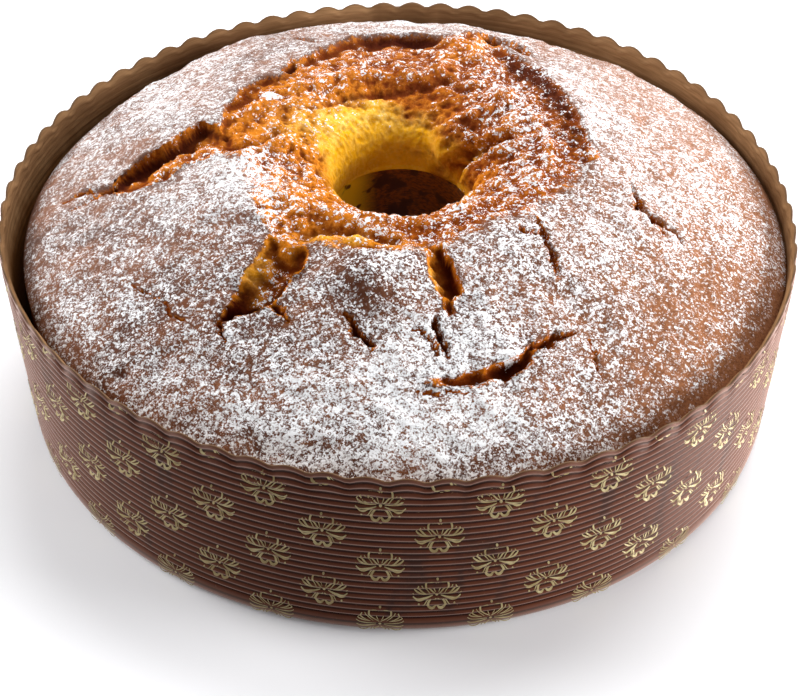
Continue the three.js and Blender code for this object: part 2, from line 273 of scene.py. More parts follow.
# Where the crumb is fresh and golden rather than browned, and painted light on the lit left walls of the
# front pockets: x, y, reach, amount
FRESH_AND_LIT = (
    (-22, 8, 9, 1), (-24, 16, 9, 1), (-18, 25, 8, 0.8), (-30, 14, 8, 0.9), (-38, 12, 8, 0.7),
    (-45, 13, 6, 0.5), (-25, -16, 8, 0.8), (-33, -26, 8, 0.5), (-23, -38, 6, 0.9), (-15, -40, 5, 1),
    (-8, -41, 5, 0.8), (0, -42, 5, 0.6), (7, -44, 4, 0.6), (-37, -43, 5, 0.7), (-39, -49, 5, 0.7),
    (-40, -55, 4, 0.5), (8.5, -49, 4, 1), (10, -56, 4, 1), (20, 62, 7, 0.55), (24, 70, 7, 0.5),
    (17, 54, 6, 0.4), (19, -4, 6, 0.6), (15, -14, 6, 0.6), (0, 30, 8, 0.3), (10, 25, 7, 0.25),
    (-32, 28, 8, 0.5), (-10, 34, 8, 0.35),
)
# Where moist yellow crumb shows through beyond the throat, and painted light on the lit left walls of the
# front pockets: x, y, reach, amount
GOLDEN_AND_LIT = (
    (-37, -44, 4, 0.4), (-38.5, -50, 4, 0.45), (-38.5, -55, 3, 0.3), (8.2, -51, 2.6, 0.5),
    (9.6, -56, 2.4, 0.4), (-21, -38, 4, 0.5), (-12, -39.5, 4, 0.45), (-3, -41, 3, 0.3),
    (-28, 14, 8, 0.35),
)
# Deep shade inside the pockets: x, y, reach, amount
GLOOM = (
    (-43.5, -60, 4, 1), (-38, -60, 4, 0.95), (-33, -57.5, 4, 0.8), (-29, -52, 4, 0.65),
    (-26.5, -46, 3.5, 0.6), (12.5, -57, 2.6, 0.7), (12, -62, 2.4, 0.6), (-71, -2, 5, 0.75),
    (-65, 2, 5, 0.65), (-59, 7, 5, 0.55), (-53.5, 9.5, 4, 0.5),
)
# Where the crust is darkened, mostly toward the front: painted shade where its slopes face away from the
# light, strongest on the steep face of the front plate: x, y, reach, amount
DARK_CRUST = (
    (-9, -59, 12, 1.0), (-36, -66, 9, 0.4), (-62, -62, 22, 0.45), (14, -62, 7, 0.3),
    (-47, -46, 10, 0.3), (96, -44, 16, 0.35), (64, -78, 18, 0.25),
)
# Burnt crest on the right of the tear: x, y, half width
BURNT = (
    (29.5, 60, 1.4), (31.5, 55.5, 2.2), (33.6, 51, 3), (36.8, 45.6, 3.2), (39.8, 40.2, 3),
    (42, 33.2, 2.6), (43.6, 27.5, 2.6), (45.7, 19.1, 2.2), (47.6, 11, 2), (49.4, 3, 1.6),
    (49.2, -5, 1),
)
# Share of the crust that sugar covers, as drifts added to an even dusting: x, y, reach, amount
EVEN_DUSTING = 0.31
DRIFTS = (
    (0, -92, 34, 0.33), (-40, -84, 22, 0.04), (-60, -84, 16, 0.14), (-86, -58, 16, 0.1),
    (-30, -100, 12, 0.1), (30, -96, 22, 0.06), (60, 30, 18, 0.04), (46, 48, 7, 0.2),
    (50, 36, 7, 0.22), (54, 22, 7, 0.22), (66, 0, 14, 0.05), (0, 84, 26, 0.16), (50, -36, 18, 0.1),
    (86, -52, 24, -0.24), (66, -78, 18, -0.08), (103, 5, 12, -0.12), (-9, -60, 12, -0.2),
    (-4, -49, 7, 0.2), (-99, -8, 12, -0.08), (-36, -58, 9, -0.14), (-56, -22, 14, 0.16),
    (-48, -8, 6, 0.2), (-45, -17, 6, 0.2), (-41, -27, 6, 0.16), (-68, 28, 20, 0.15),
    (-44, -12, 8, 0.12), (-70, 62, 20, 0.15), (-92, -30, 16, 0.04), (20, -62, 14, 0.1),
    (26, -42, 9, 0.1), (12, -78, 10, 0.2), (85, -5, 16, 0.12), (84, -24, 16, 0.08),
    (92, -40, 16, -0.1), (76, -62, 15, -0.15), (66, -32, 13, 0.13), (62, 10, 11, 0.1),
    (50, -54, 10, 0.08),
)
# The same on torn crumb
CRUMB_DRIFTS = (
    (1, 31, 8, -0.3), (12, 29, 8, -0.26), (-10, 32, 7, -0.2), (-41, -10, 8, 0.5),
    (-37, -20, 8, 0.45), (-34, -30, 6, 0.3), (-30, -8, 7, 0.12), (-33, -52, 6, 0.3),
    (-37, -58, 4, 0.2), (-60, 3, 6, 0.05), (-47, 8, 6, -0.15), (36, 20, 12, 0.12),
    (34, 44, 10, 0.1), (6, -34, 10, 0.1),
)
# Lumps of sugar that have stayed whole: x, y, radius, height
SUGAR_LUMPS = (
    (-38.7, 27.5, 2.3, 2.4), (-36.2, 27.8, 1.6, 1.6), (26.2, -74.2, 1.6, 0.6),
    (28, -73.6, 1.2, 0.5),
)
# Small pits and specks, darkened with painted shade: x, y, radius, depth
PITS = (
    (-85, 15.7, 1.2, 0.8), (-42, -54.2, 1.5, 1.2), (-70, -73, 1.8, 1.3), (58, 48, 1.2, 0.7),
    (47, 6.5, 1.5, 1.0), (-52.5, -9.5, 1.6, 0.6),
)


class Noise:
    """Seeded gradient noise over points in millimetres, about -1 to 1."""

    # Brings plain gradient noise to that range
    GAIN = 1.7
    # Millimetres between the fields of one octave and the next
    OCTAVE_SHIFT = 31.7

    def __init__(self, seed):
        rng = np.random.default_rng(seed)
        self.order = rng.permutation(256)
        slopes = rng.normal(size=(256, 3))
        self.slopes = slopes / np.linalg.norm(slopes, axis=1)[:, None]

    def one(self, points, size):
        q = points / size
        cell = np.floor(q).astype(int)
        f = q - cell
        w = f * f * f * (f * (f * 6 - 15) + 10)
        total = np.zeros(len(points))
        for corner in np.ndindex(2, 2, 2):
            c = cell + corner
            pick = self.order[c[:, 0] & 255]
            pick = self.order[(pick + c[:, 1]) & 255]
            pick = self.order[(pick + c[:, 2]) & 255]
            share = np.prod(np.where(np.array(corner), w, 1 - w), axis=1)
            total += share * np.einsum("ij,ij->i", self.slopes[pick], f - corner)
        return total * self.GAIN

    def __call__(self, points, size, octaves=1, keep=0.5):
        total, weight = np.zeros(len(points)), 1.0
        for n in range(octaves):
            total += weight * self.one(points + self.OCTAVE_SHIFT * n, size)
            size *= 0.5
            weight *= keep
        return total


def smooth(low, high, value):
    """0 up to low, 1 from high on, smooth between; low may be the greater."""
    t = np.clip((value - low) / (high - low), 0, 1)
    return t * t * (3 - 2 * t)


def spot(x, y, at_x, at_y, reach):
    """A soft round spot on plan: 1 at its middle, fading over its reach."""
    return np.exp(-((x - at_x) ** 2 + (y - at_y) ** 2) / reach**2)


def round_table(table, degrees):
    """A closed curve through (angle, value) pairs, read at angles in degrees with its corners rounded."""
    angles, values = np.array(sorted(table), float).T
    angles = np.concatenate([angles - 360, angles, angles + 360])
    values = np.tile(values, 3)
    nearby, weights = np.linspace(-7, 7, 5), np.array([0.1, 0.2, 0.4, 0.2, 0.1])
    return np.interp(degrees[:, None] + nearby, angles, values) @ weights


def beside_path(path, x, y):
    """Signed distance from a path, left side positive, with its half width and left normal there."""
    best = np.full(x.shape, np.inf)
    side, width, nx, ny = (np.zeros(x.shape) for _ in range(4))
    for (x0, y0, w0), (x1, y1, w1) in zip(path, path[1:]):
        dx, dy = x1 - x0, y1 - y0
        length = math.hypot(dx, dy)
        t = np.clip(((x - x0) * dx + (y - y0) * dy) / length**2, 0, 1)
        ox, oy = x - (x0 + t * dx), y - (y0 + t * dy)
        away = np.hypot(ox, oy)
        near = away < best
        best = np.where(near, away, best)
        side = np.where(near, np.sign(dx * oy - dy * ox), side)
        width = np.where(near, w0 + t * (w1 - w0), width)
        nx = np.where(near, -dy / length, nx)
        ny = np.where(near, dx / length, ny)
    return best * side, width, nx, ny


def into_outline(edge, x, y):
    """Distance into a closed outline, the way out of it, and what its nearest edges carry."""
    edge = np.array(edge, float)
    best, weight = np.full(x.shape, np.inf), np.zeros(x.shape)
    ox, oy, inside = np.zeros(x.shape), np.zeros(x.shape), np.zeros(x.shape, bool)
    carried = np.zeros((edge.shape[1] - 2, *x.shape))
    for a, b in zip(edge, np.roll(edge, -1, axis=0)):
        dx, dy = b[0] - a[0], b[1] - a[1]
        t = np.clip(((x - a[0]) * dx + (y - a[1]) * dy) / (dx * dx + dy * dy), 0, 1)
        px, py = x - a[0] - t * dx, y - a[1] - t * dy
        away = np.hypot(px, py)
        near = away < best
        best, ox, oy = np.where(near, away, best), np.where(near, px, ox), np.where(near, py, oy)
        pull = 1 / (away**2 + 0.4) ** 2
        weight += pull
        carried += pull * (a[2:, None] + t * (b - a)[2:, None])
        if dy:
            inside ^= ((a[1] > y) != (b[1] > y)) & (x < a[0] + (y - a[1]) * dx / dy)
    sign = np.where(inside, -1, 1) / np.maximum(best, 1e-6)
    return np.where(inside, best, -best), np.stack([ox * sign, oy * sign], axis=1), carried / weight


# Radii of the plain dome, in millimetres: its shoulder inside the wall, where it starts to roll over
# to that, where the rows of its skin draw closer together, and where it has fallen just below the rim
SHOULDER = 107.2
ROLL_FROM = 98
DENSE_FROM = 90
FALL_TO = 100
# How far it rolls over, and over what run, in millimetres
ROLL_DROP, ROLL_RUN = 3, 9.5
# Rows of its skin from the shoulder in, over the crust to the crest, and from there into the throat
SHOULDER_ROWS, CRUST_ROWS, THROAT_ROWS = 22, 88, 46


class Dome:
    """The plain baked form: a section swept round the hole."""

    def __init__(self, cake, case):
        self.case = case
        self.fall = cake.dome_power
        self.rim = case.height / MM
        self.crest, self.crest_height = cake.crest_radius / MM, cake.crest_height / MM
        self.lip, self.lip_height = cake.lip_radius / MM, cake.lip_height / MM

    def height(self, r):
        """Height of the skin at a radius."""
        run = np.maximum(r - self.crest, 0) / (FALL_TO - self.crest)
        rolled = ROLL_DROP * (np.maximum(r - ROLL_FROM, 0) / ROLL_RUN) ** 2
        outer = self.crest_height - (self.crest_height + 1) * run**self.fall - rolled
        inner = np.clip((self.crest - r) / (self.crest - self.lip), 0, 1)
        throat = self.lip_height + (self.crest_height - self.lip_height) * np.sqrt(1 - inner**2)
        return self.rim + np.where(r >= self.crest, outer, throat)

    def section(self):
        """Rows of the skin from the foot up the side, over the dome, down the throat and along the tube.

        Each has its radius, its height and how much of the relief it takes.
        """
        case, crest, lip = self.case, self.crest, self.lip
        floor = case.base_thick / MM + GAP
        ledge = case.core_height / MM + GAP
        foot = case.foot_radius / MM - case.thick / MM - GAP
        side = ((-1.6, floor), (0, 3.5), (0.7, 22), (0.9, 40), (0.9, 44.5))
        rows = [(foot + out, z, 0) for out, z in side]
        shoulder = np.linspace(SHOULDER, DENSE_FROM, SHOULDER_ROWS, endpoint=False)
        crust = np.linspace(DENSE_FROM, crest, CRUST_ROWS, endpoint=False)
        turns = np.linspace(math.pi / 2, 0, THROAT_ROWS)
        inward = [crest - (crest - lip) * math.cos(turn) for turn in turns]
        rows += [(r, float(self.height(np.array(r))), 1) for r in (*shoulder, *crust, *inward)]
        low = rows[-1][1]
        mouth = ledge - GAP - 0.9
        rows += [(lip + 0.08 * k, low - (low - mouth) * k / 5, 1 - k / 6) for k in range(1, 6)]
        rows.insert(-1, (lip + 0.395, mouth + 0.03, 0.17))
        rows += [(lip + 0.5, mouth + 0.2, 0.12), (lip + 0.55, ledge, 0.12)]
        top, bottom = case.core_top / MM + GAP, case.core_foot / MM + GAP
        rows += [(top + 0.1, ledge, 0), (0.5 * (top + bottom), 0.5 * (ledge + floor), 0), (bottom, floor, 0)]
        return np.array(rows)


class Skin:
    """The skin over points of the plain dome: how it rises and shifts, and the shares that colour it."""

    # How far torn edges wander off their outlines
    WANDER = 1.1
    # Drop of the torn ring well inside its edge, and how far in the edge's own drop and painted shade reach
    RING_DROP, RING_REACH = 1.2, 8
    # How much prouder folds stand than their table says
    FOLD_GAIN = 1.4
    # Bounds of the sugar's share on crust and of what is kept of it
    LEAST_DUSTING, MOST_SUGAR = 0.17, 1.6

    def __init__(self, cake, points):
        self.cake, self.p = cake, points
        self.x, self.y = points[:, 0], points[:, 1]
        self.r = np.hypot(self.x, self.y)
        self.degrees = np.degrees(np.arctan2(self.y, self.x))
        self.noise, self.other = Noise(SEED), Noise(SEED + 11)
        # Points are moved off before a noise is read there, so that no two noises look alike
        self.wx = self.x + self.WANDER * self.noise(points + 200, 6, 3)
        self.wy = self.y + self.WANDER * self.other(points + 230, 6, 3)
        self.crumble = self.other(points, 7, 5, 0.42)
        self.billow = 0.5 - np.abs(self.noise(points + 25, 4.5, 3, 0.6))
        self.yellow_edge = round_table(YELLOW_EDGE, self.degrees)
        self.tear()
        self.swell_and_fold()
        self.break_pockets()
        self.crack()
        self.roughen()
        self.burn()
        self.brown()
        self.dust()
        self.pit_and_lump()

    def spots(self, table):
        """The soft round spots of a table, one after another."""
        for at_x, at_y, reach, amount in table:
            yield amount * spot(self.x, self.y, at_x, at_y, reach)

    def tear(self):
        """The ring torn open round the hole, lower than the crust, with a lip raised outside it."""
        inside, away, (step, run, dark) = into_outline(TEAR, self.wx, self.wy)
        within, outside = np.maximum(inside, 0), np.minimum(inside, 0)
        soft = 1 + 8 * smooth(1.7, 0.8, step)
        self.torn = smooth(-0.8, 1.1, (inside + 3 * self.crumble * (soft > 1.5)) / soft)
        throat = smooth(self.cake.lip_radius / MM + 1, self.cake.crest_radius / MM, self.r)
        drop = self.RING_DROP + (step - self.RING_DROP) * np.exp(-within / self.RING_REACH)
        drop = drop * (1 - np.exp(-within / run)) * self.cake.tear_scale
        self.rise = -drop * throat
        self.rise += (inside < 0) * 0.2 * step * np.exp(outside / 2.5)
        # Painted shade on the torn step below the edge
        self.deep = 0.9 * dark * self.torn * np.exp(-((within / self.RING_REACH) ** 2))
        self.scorch = np.exp(outside / 2.2)
        sheer = (np.abs(inside) < 0.4) & (step > 1.8) & (run < 2)
        self.shift = np.where(sheer, inside, 0)[:, None] * away

    def swell_and_fold(self):
        """Low swells all over, folds and valleys where the crumb is torn."""
        for swell in self.spots(SWELLS):
            self.rise += swell
        uneven = 1 + 0.35 * self.noise(self.p + 300, 5, 2)
        for path, half, lift in FOLDS:
            off, _, _, _ = beside_path([(px, py, half) for px, py in path], self.wx, self.wy)
            self.rise += self.FOLD_GAIN * lift * self.torn * np.exp(-((off / half) ** 2)) * uneven

    def break_pockets(self):
        """Pockets with sheer or sloping walls, some under a hanging edge of crust."""
        self.hollow = np.zeros(self.r.shape)
        for edge in POCKETS.values():
            into, away, (depth, wall, gloom, hang) = into_outline(edge, self.wx, self.wy)
            inner, outside = np.maximum(into - 0.4, 0), np.minimum(into, 0)
            sheer = (np.abs(into) < 0.45) & (wall < 1.5)
            self.shift += np.where(sheer, into, 0)[:, None] * away
            self.rise -= depth * (1 - np.exp(-inner / wall))
            self.rise += 0.12 * depth * np.exp(outside / 7) * (hang / 2) * (into < 0)
            pocket = smooth(-1.1, 0.8, into)
            near = np.exp(-((inner / (1.5 + 2.5 * wall)) ** 2))
            # Painted shade inside the pocket
            self.deep = np.maximum(self.deep, gloom * pocket * smooth(0, 0.8, inner) * near)
            self.scorch = np.maximum(self.scorch, np.exp(outside / 1.6))
            self.torn, self.hollow = np.maximum(self.torn, pocket), np.maximum(self.hollow, pocket)
            over = hang * np.exp(-((np.minimum(into + 0.3, 0) / 1.6) ** 2)) * (into < 0.3)
            self.shift -= over[:, None] * away

    def crack(self):
        """Ragged cracks, each with a low lip on both sides."""
        jag_x, jag_y = 0.5 * self.other(self.p + 500, 1.7, 2), 0.5 * self.noise(self.p + 530, 1.7, 2)
        ragged = 0.35 * self.noise(self.p + 60, 5, 2) + 0.25 * self.other(self.p, 2.0, 2)
        for crack in CRACKS.values():
            off, width, nx, ny = beside_path(crack.path, self.wx + jag_x, self.wy + jag_y)
            rough = ragged * np.clip(1.6 / np.maximum(width, 0.1), 0.25, 1)
            across = off / np.maximum(width * (1 + 0.9 * rough), 0.05)
            left, right = (1 - across) / (1 - crack.skew), (1 + across) / (1 + crack.skew)
            fall = np.clip(np.where(across > crack.skew, left, right), 0, 1)
            share = width / max(w for _, _, w in crack.path)
            cut = crack.depth * share**0.6 * (1 - (1 - fall) ** 2.2)
            self.rise -= cut
            beyond = np.maximum(np.abs(across) - 1, 0) * width
            lip = np.exp(-beyond / 1.3) * (np.abs(across) > 1)
            self.rise += 0.12 * lip * np.minimum(width, 2) * (1 - self.torn)
            self.rise += crack.lift * share * np.exp(-beyond / 9) * (across > 1)
            self.scorch = np.maximum(self.scorch, np.exp(-beyond / 1.6) * smooth(0.6, 3, width))
            self.torn = np.maximum(self.torn, smooth(1.12, 0.95, np.abs(across)))
            # Painted shade in the crack's depth
            shade = crack.dark * np.clip(cut / 2.6, 0, 1) * smooth(0, 0.4, fall)
            self.deep = np.maximum(self.deep, shade)
            over = crack.overhang * share * np.exp(-(((across - 1.08) / 0.2) ** 2))
            self.shift -= over[:, None] * np.stack([nx, ny], axis=1)

    def roughen(self):
        """Crumbs, billows and pulled fibres on torn crumb, low lumps on crust."""
        r, torn = self.r, self.torn
        # Painted shade where crust slopes face away from the light
        for darkened in self.spots(DARK_CRUST):
            self.scorch = np.maximum(self.scorch, darkened)
        self.scorch = self.scorch * (1 - torn)
        pulled = np.stack([self.x / r * 30, self.y / r * 30, r * 0.45], axis=1)
        streaks = 0.5 - np.abs(self.other(pulled + 2.2 * self.crumble[:, None], 3.4, 3, 0.6))
        self.fibres = streaks * smooth(22, 30, r) * (1 - 0.6 * self.deep)
        moist = smooth(3, -3, r - self.yellow_edge)
        self.rough_from = 16 + 3.6 * smooth(85, 125, np.abs((self.degrees + 240) % 360 - 180))
        wear = smooth(0, 3, r - self.rough_from) * (1 - 0.6 * moist) * (1 + 0.25 * self.hollow)
        billows = (0.5 + 0.5 * smooth(34, 22, r)) * self.billow
        self.rise += torn * wear * (1.2 * self.crumble + billows + 0.5 * self.fibres - 0.2)
        self.rise += torn * moist * smooth(9, 14, r) * (0.5 * self.billow - 0.12)
        lumps = 0.65 * self.noise(self.p, 10, 3, 0.55) + 0.2 * self.noise(self.p + 90, 2.4, 2)
        self.rise += (1 - torn) * lumps

    def burn(self):
        """The patchy burnt crest."""
        off, half, _, _ = beside_path(BURNT, self.wx, self.wy)
        patchy = 0.6 + 0.55 * smooth(14, 38, self.y) + 0.7 * self.crumble
        patchy = patchy + 0.5 * self.noise(self.p + 410, 3, 3, 0.6)
        self.burnt = np.clip(np.exp(-((off / half) ** 2)) * patchy, 0, 1)
        self.rise += self.burnt * (0.2 + 1.1 * self.billow + 0.5 * self.crumble)
        self.torn = np.maximum(self.torn, 0.9 * smooth(0.15, 0.5, self.burnt))

    def brown(self):
        """How yellow, shaded and fresh the crumb is, with painted shade in the pockets and painted light on
        their lit walls.
        """
        self.yellow = smooth(-6, 5, self.yellow_edge - self.r + 4.2 * self.crumble)
        for shade in self.spots(GLOOM):
            shade = np.clip(shade * (1 + 0.6 * self.crumble), 0, 1)
            self.deep = np.maximum(self.deep, shade * self.hollow)
        # Moist yellow crumb, and painted light on lit pocket walls
        for bright in self.spots(GOLDEN_AND_LIT):
            bright = bright * (1 + 0.8 * self.crumble)
            self.yellow = np.maximum(self.yellow, bright * self.torn * (1 - self.deep))
        fresh = np.zeros(self.r.shape)
        # Fresh crumb, and painted light on lit pocket walls
        for golden in self.spots(FRESH_AND_LIT):
            fresh = np.maximum(fresh, golden)
        fresh = fresh * (1 + 0.5 * self.billow) + 0.3 * smooth(0, -30, self.x) + 0.25 * self.crumble
        self.fresh = np.clip(fresh, 0, 1)

    def dust(self):
        """Share of sugar: drifts on crust, high points on crumb, little in depths and on burnt places."""
        crust = EVEN_DUSTING + 0.1 * self.noise(self.p + 140, 15, 2) + 0.05 * self.other(self.p + 70, 6, 2)
        for drift in self.spots(DRIFTS):
            crust += drift
        high = np.clip(0.5 + self.fibres + 0.5 * self.crumble, 0, 1)
        crumb = 0.14 + 0.26 * high + 0.12 * smooth(5, 40, self.x) - 0.08 * self.fresh
        for drift in self.spots(CRUMB_DRIFTS):
            crumb += drift
        crust = np.maximum(crust - 0.08 * self.scorch, self.LEAST_DUSTING)
        sugar = crust * (1 - self.torn) + crumb * self.torn
        sugar += np.maximum(0.2 - sugar, -0.5) * self.burnt
        sugar -= 0.42 * self.deep + 0.12 * self.yellow + 0.04 * smooth(101, 107, self.r)
        self.sugar = sugar * smooth(0, 5, self.r - self.rough_from)

    def pit_and_lump(self):
        """Small pits, and lumps of sugar that have stayed whole."""
        for at_x, at_y, reach, depth in PITS:
            pit = spot(self.x, self.y, at_x, at_y, reach)
            self.rise -= depth * pit
            # Painted shade in the pit
            self.deep = np.maximum(self.deep, 0.9 * pit)
        for at_x, at_y, reach, tall in SUGAR_LUMPS:
            lump = np.exp(-(((self.x - at_x) ** 2 + (self.y - at_y) ** 2) / reach**2) ** 1.5)
            self.rise += tall * lump * (1 + 0.4 * self.crumble)
            self.sugar = np.maximum(self.sugar, 2 * lump)
        self.sugar = np.clip(self.sugar, 0, self.MOST_SUGAR)

    def shares(self):
        """What the finish reads, by name."""
        names = ("torn", "deep", "yellow", "fresh", "burnt", "scorch", "sugar")
        return {name: getattr(self, name) for name in names}


# Meshes


def tidy_mesh(name, points, faces, attributes=None):
    """A smooth mesh from points in millimetres, with named float attributes."""
    mesh = bpy.data.meshes.new(name)
    mesh.from_pydata((np.asarray(points) * MM).tolist(), [], np.asarray(faces).tolist())
    for key, values in (attributes or {}).items():
        layer = mesh.attributes.new(key, "FLOAT", "POINT")
        layer.data.foreach_set("value", np.asarray(values, np.float32))
    mesh.shade_smooth()
    mesh.update()
    return mesh


def torus_faces(rows, columns):
    """Quads of a grid closed both ways: rows go up the outside, columns turn anticlockwise."""
    i, j = np.meshgrid(np.arange(rows), np.arange(columns), indexing="ij")
    up, on = (i + 1) % rows, (j + 1) % columns
    corners = (i * columns + j, i * columns + on, up * columns + on, up * columns + j)
    return np.stack(corners, axis=-1).reshape(-1, 4)


def ring(columns):
    """Angles of evenly spaced points round a ring."""
    return 2 * math.pi * np.arange(columns) / columns


def degrees_off(turn, at):
    """How far angles in radians lie from one in degrees, as degrees."""
    return np.abs((np.degrees(turn) - at + 180) % 360 - 180)


def lathe(rows, columns):
    """Points of (radius, height) rows turned round the hole."""
    turn = ring(columns)
    turned = [np.stack([r * np.cos(turn), r * np.sin(turn), np.full(columns, z)], axis=1) for r, z in rows]
    return np.concatenate(turned)


def piece(name, mesh, node, material=None):
    """Puts a finished mesh in the scene as a piece of the part."""
    if material is not None:
        mesh.materials.clear()
        mesh.materials.append(material)
    made = bpy.data.objects.new(name, mesh)
    bpy.context.scene.collection.objects.link(made)
    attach(made, "root")
    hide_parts(node)


# Node trees


class Wire:
    """One output of a node. Arithmetic on it adds Math nodes."""

    def __init__(self, nodes, socket):
        self.nodes, self.socket = nodes, socket

    def math(self, operation, *terms):
        return self.nodes.add("ShaderNodeMath", {"operation": operation}, dict(enumerate((self, *terms))))

    def __add__(self, other):
        return self.math("ADD", other)

    def __sub__(self, other):
        return self.math("SUBTRACT", other)

    def __rsub__(self, other):
        return self.nodes.add("ShaderNodeMath", {"operation": "SUBTRACT"}, {0: other, 1: self})

    def __mul__(self, other):
        return self.math("MULTIPLY", other)

    def __truediv__(self, other):
        return self.math("DIVIDE", other)

    def __pow__(self, other):
        return self.math("POWER", other)

    def __gt__(self, other):
        return self.math("GREATER_THAN", other)

    def __lt__(self, other):
        return self.math("LESS_THAN", other)

    __radd__ = __add__
    __rmul__ = __mul__

    def clamp(self):
        return self.nodes.add("ShaderNodeMath", {"operation": "ADD", "use_clamp": True}, {0: self, 1: 0.0})

    def cos(self):
        return self.math("COSINE")

    def rises(self, low, high):
        """0 below low, 1 above high, smooth between."""
        settings = {"interpolation_type": "SMOOTHSTEP"}
        return self.nodes.add("ShaderNodeMapRange", settings, {0: self, 1: low, 2: high, 3: 0.0, 4: 1.0})


class Nodes:
    """A node tree being built."""

    def __init__(self, tree):
        self.tree = tree

    def add(self, kind, settings=None, sockets=None, output=0):
        """A node of a kind: its settings, then the values or links of its sockets. Gives one output."""
        made = self.tree.nodes.new(kind)
        for key, value in (settings or {}).items():
            setattr(made, key, value)
        for key, value in (sockets or {}).items():
            if isinstance(value, Wire):
                self.tree.links.new(value.socket, made.inputs[key])
            else:
                made.inputs[key].default_value = value
        return Wire(self, made.outputs[output]) if len(made.outputs) else made

    def mix(self, share, a, b):
        """Colour a turned into colour b by share."""
        a, b = (v if isinstance(v, Wire) else (*v, 1.0) for v in (a, b))
        return self.add("ShaderNodeMix", {"data_type": "RGBA"}, {0: share, 6: a, 7: b}, 2)


class Finish(Nodes):
    """A material being built, with millimetre coordinates and noises of a given size."""

    def __init__(self, name, colour):
        self.material = bpy.data.materials.new(name)
        self.material.use_nodes = True
        self.material.diffuse_color = (*colour, 1.0)
        super().__init__(self.material.node_tree)
        self.tree.nodes.clear()
        place = self.add("ShaderNodeTexCoord", output=3)
        self.place = self.add("ShaderNodeVectorMath", {"operation": "SCALE"}, {0: place, 3: 1 / MM})

    def attribute(self, name):
        return self.add("ShaderNodeAttribute", {"attribute_name": name}, output=2)

    def noise(self, size, detail=2.0, rough=0.5, at=None):
        sockets = {"Vector": at or self.place, "Scale": 1 / size, "Detail": detail, "Roughness": rough}
        return self.add("ShaderNodeTexNoise", {"noise_dimensions": "3D"}, sockets)

    def chance(self, size):
        """A random number for each grain-sized cell."""
        cells = self.add("ShaderNodeTexVoronoi", {}, {"Vector": self.place, "Scale": 1 / size}, 1)
        return self.add("ShaderNodeSeparateColor", {}, {0: cells})

    def stretch(self, x, y, z):
        return self.add("ShaderNodeVectorMath", {"operation": "MULTIPLY"}, {0: self.place, 1: (x, y, z)})

    def done(self, colour, roughness, height=None, bump=0.5, depth=0.3, **constants):
        """Ends the tree in a Principled shader: colour, roughness and bump, constants on their sockets."""
        sockets = {"Base Color": colour, "Roughness": roughness, **constants}
        if height is not None:
            relief = {"Strength": bump, "Distance": depth * MM, "Height": height}
            sockets["Normal"] = self.add("ShaderNodeBump", {}, relief)
        surface = self.add("ShaderNodeBsdfPrincipled", {}, sockets)
        self.add("ShaderNodeOutputMaterial", {}, {"Surface": surface})
        return self.material


class Growth(Nodes):
    """A geometry tree being built: named inputs, one geometry in and out."""

    def __init__(self, name):
        super().__init__(bpy.data.node_groups.new(name, "GeometryNodeTree"))
        self.tree.interface.new_socket("Geometry", in_out="OUTPUT", socket_type="NodeSocketGeometry")
        self.tree.interface.new_socket("Geometry", in_out="INPUT", socket_type="NodeSocketGeometry")
        self.group = self.tree.nodes.new("NodeGroupInput")
        self.values = {}

    def start(self):
        return Wire(self, self.group.outputs[0])

    def input(self, name, value, kind="NodeSocketFloat"):
        made = self.tree.interface.new_socket(name, in_out="INPUT", socket_type=kind)
        self.values[made.identifier] = value
        return Wire(self, next(s for s in self.group.outputs if s.identifier == made.identifier))

    def join(self, **parts):
        """A vector from its parts."""
        return self.add("ShaderNodeCombineXYZ", {}, {k.upper(): v for k, v in parts.items()})

    def split(self):
        """The parts of each point's position."""
        place = self.add("GeometryNodeInputPosition")
        made = self.tree.nodes.new("ShaderNodeSeparateXYZ")
        self.tree.links.new(place.socket, made.inputs[0])
        return tuple(Wire(self, s) for s in made.outputs)

    def move(self, geometry, **parts):
        return self.add("GeometryNodeSetPosition", {}, {"Geometry": geometry, "Position": self.join(**parts)})

    def named(self, name):
        return self.add("GeometryNodeInputNamedAttribute", {"data_type": "FLOAT"}, {"Name": name})

    def grow(self, mesh, geometry, material):
        """Ends the tree, runs it on a mesh and gives the result as a plain mesh."""
        geometry = self.add("GeometryNodeRealizeInstances", {}, {"Geometry": geometry})
        geometry = self.add("GeometryNodeSetMaterial", {}, {"Geometry": geometry, "Material": material})
        self.tree.links.new(geometry.socket, self.tree.nodes.new("NodeGroupOutput").inputs[0])
        holder = bpy.data.objects.new("growing", mesh)
        bpy.context.scene.collection.objects.link(holder)
        modifier = holder.modifiers.new("grow", "NODES")
        modifier.node_group = self.tree
        for identifier, value in self.values.items():
            modifier[identifier] = value
        graph = bpy.context.evaluated_depsgraph_get()
        grown = bpy.data.meshes.new_from_object(holder.evaluated_get(graph), depsgraph=graph)
        holder.modifiers.remove(modifier)
        bpy.data.objects.remove(holder)
        if not len(grown.polygons):
            raise RuntimeError(f"{self.tree.name} grew nothing")
        return grown


# Finishes


# Sizes of sugar flecks and of pores in the crumb, in millimetres
FLECKS = (0.4, 0.8, 1.4)
PORES = 1.1
# What the cake's skin carries at each point, and the noises that its finish is broken up by
Shares = namedtuple("Shares", "torn deep yellow fresh burnt scorch sugar crease low film pale")
Grain = namedtuple("Grain", "broad patch fine grit small middle large")


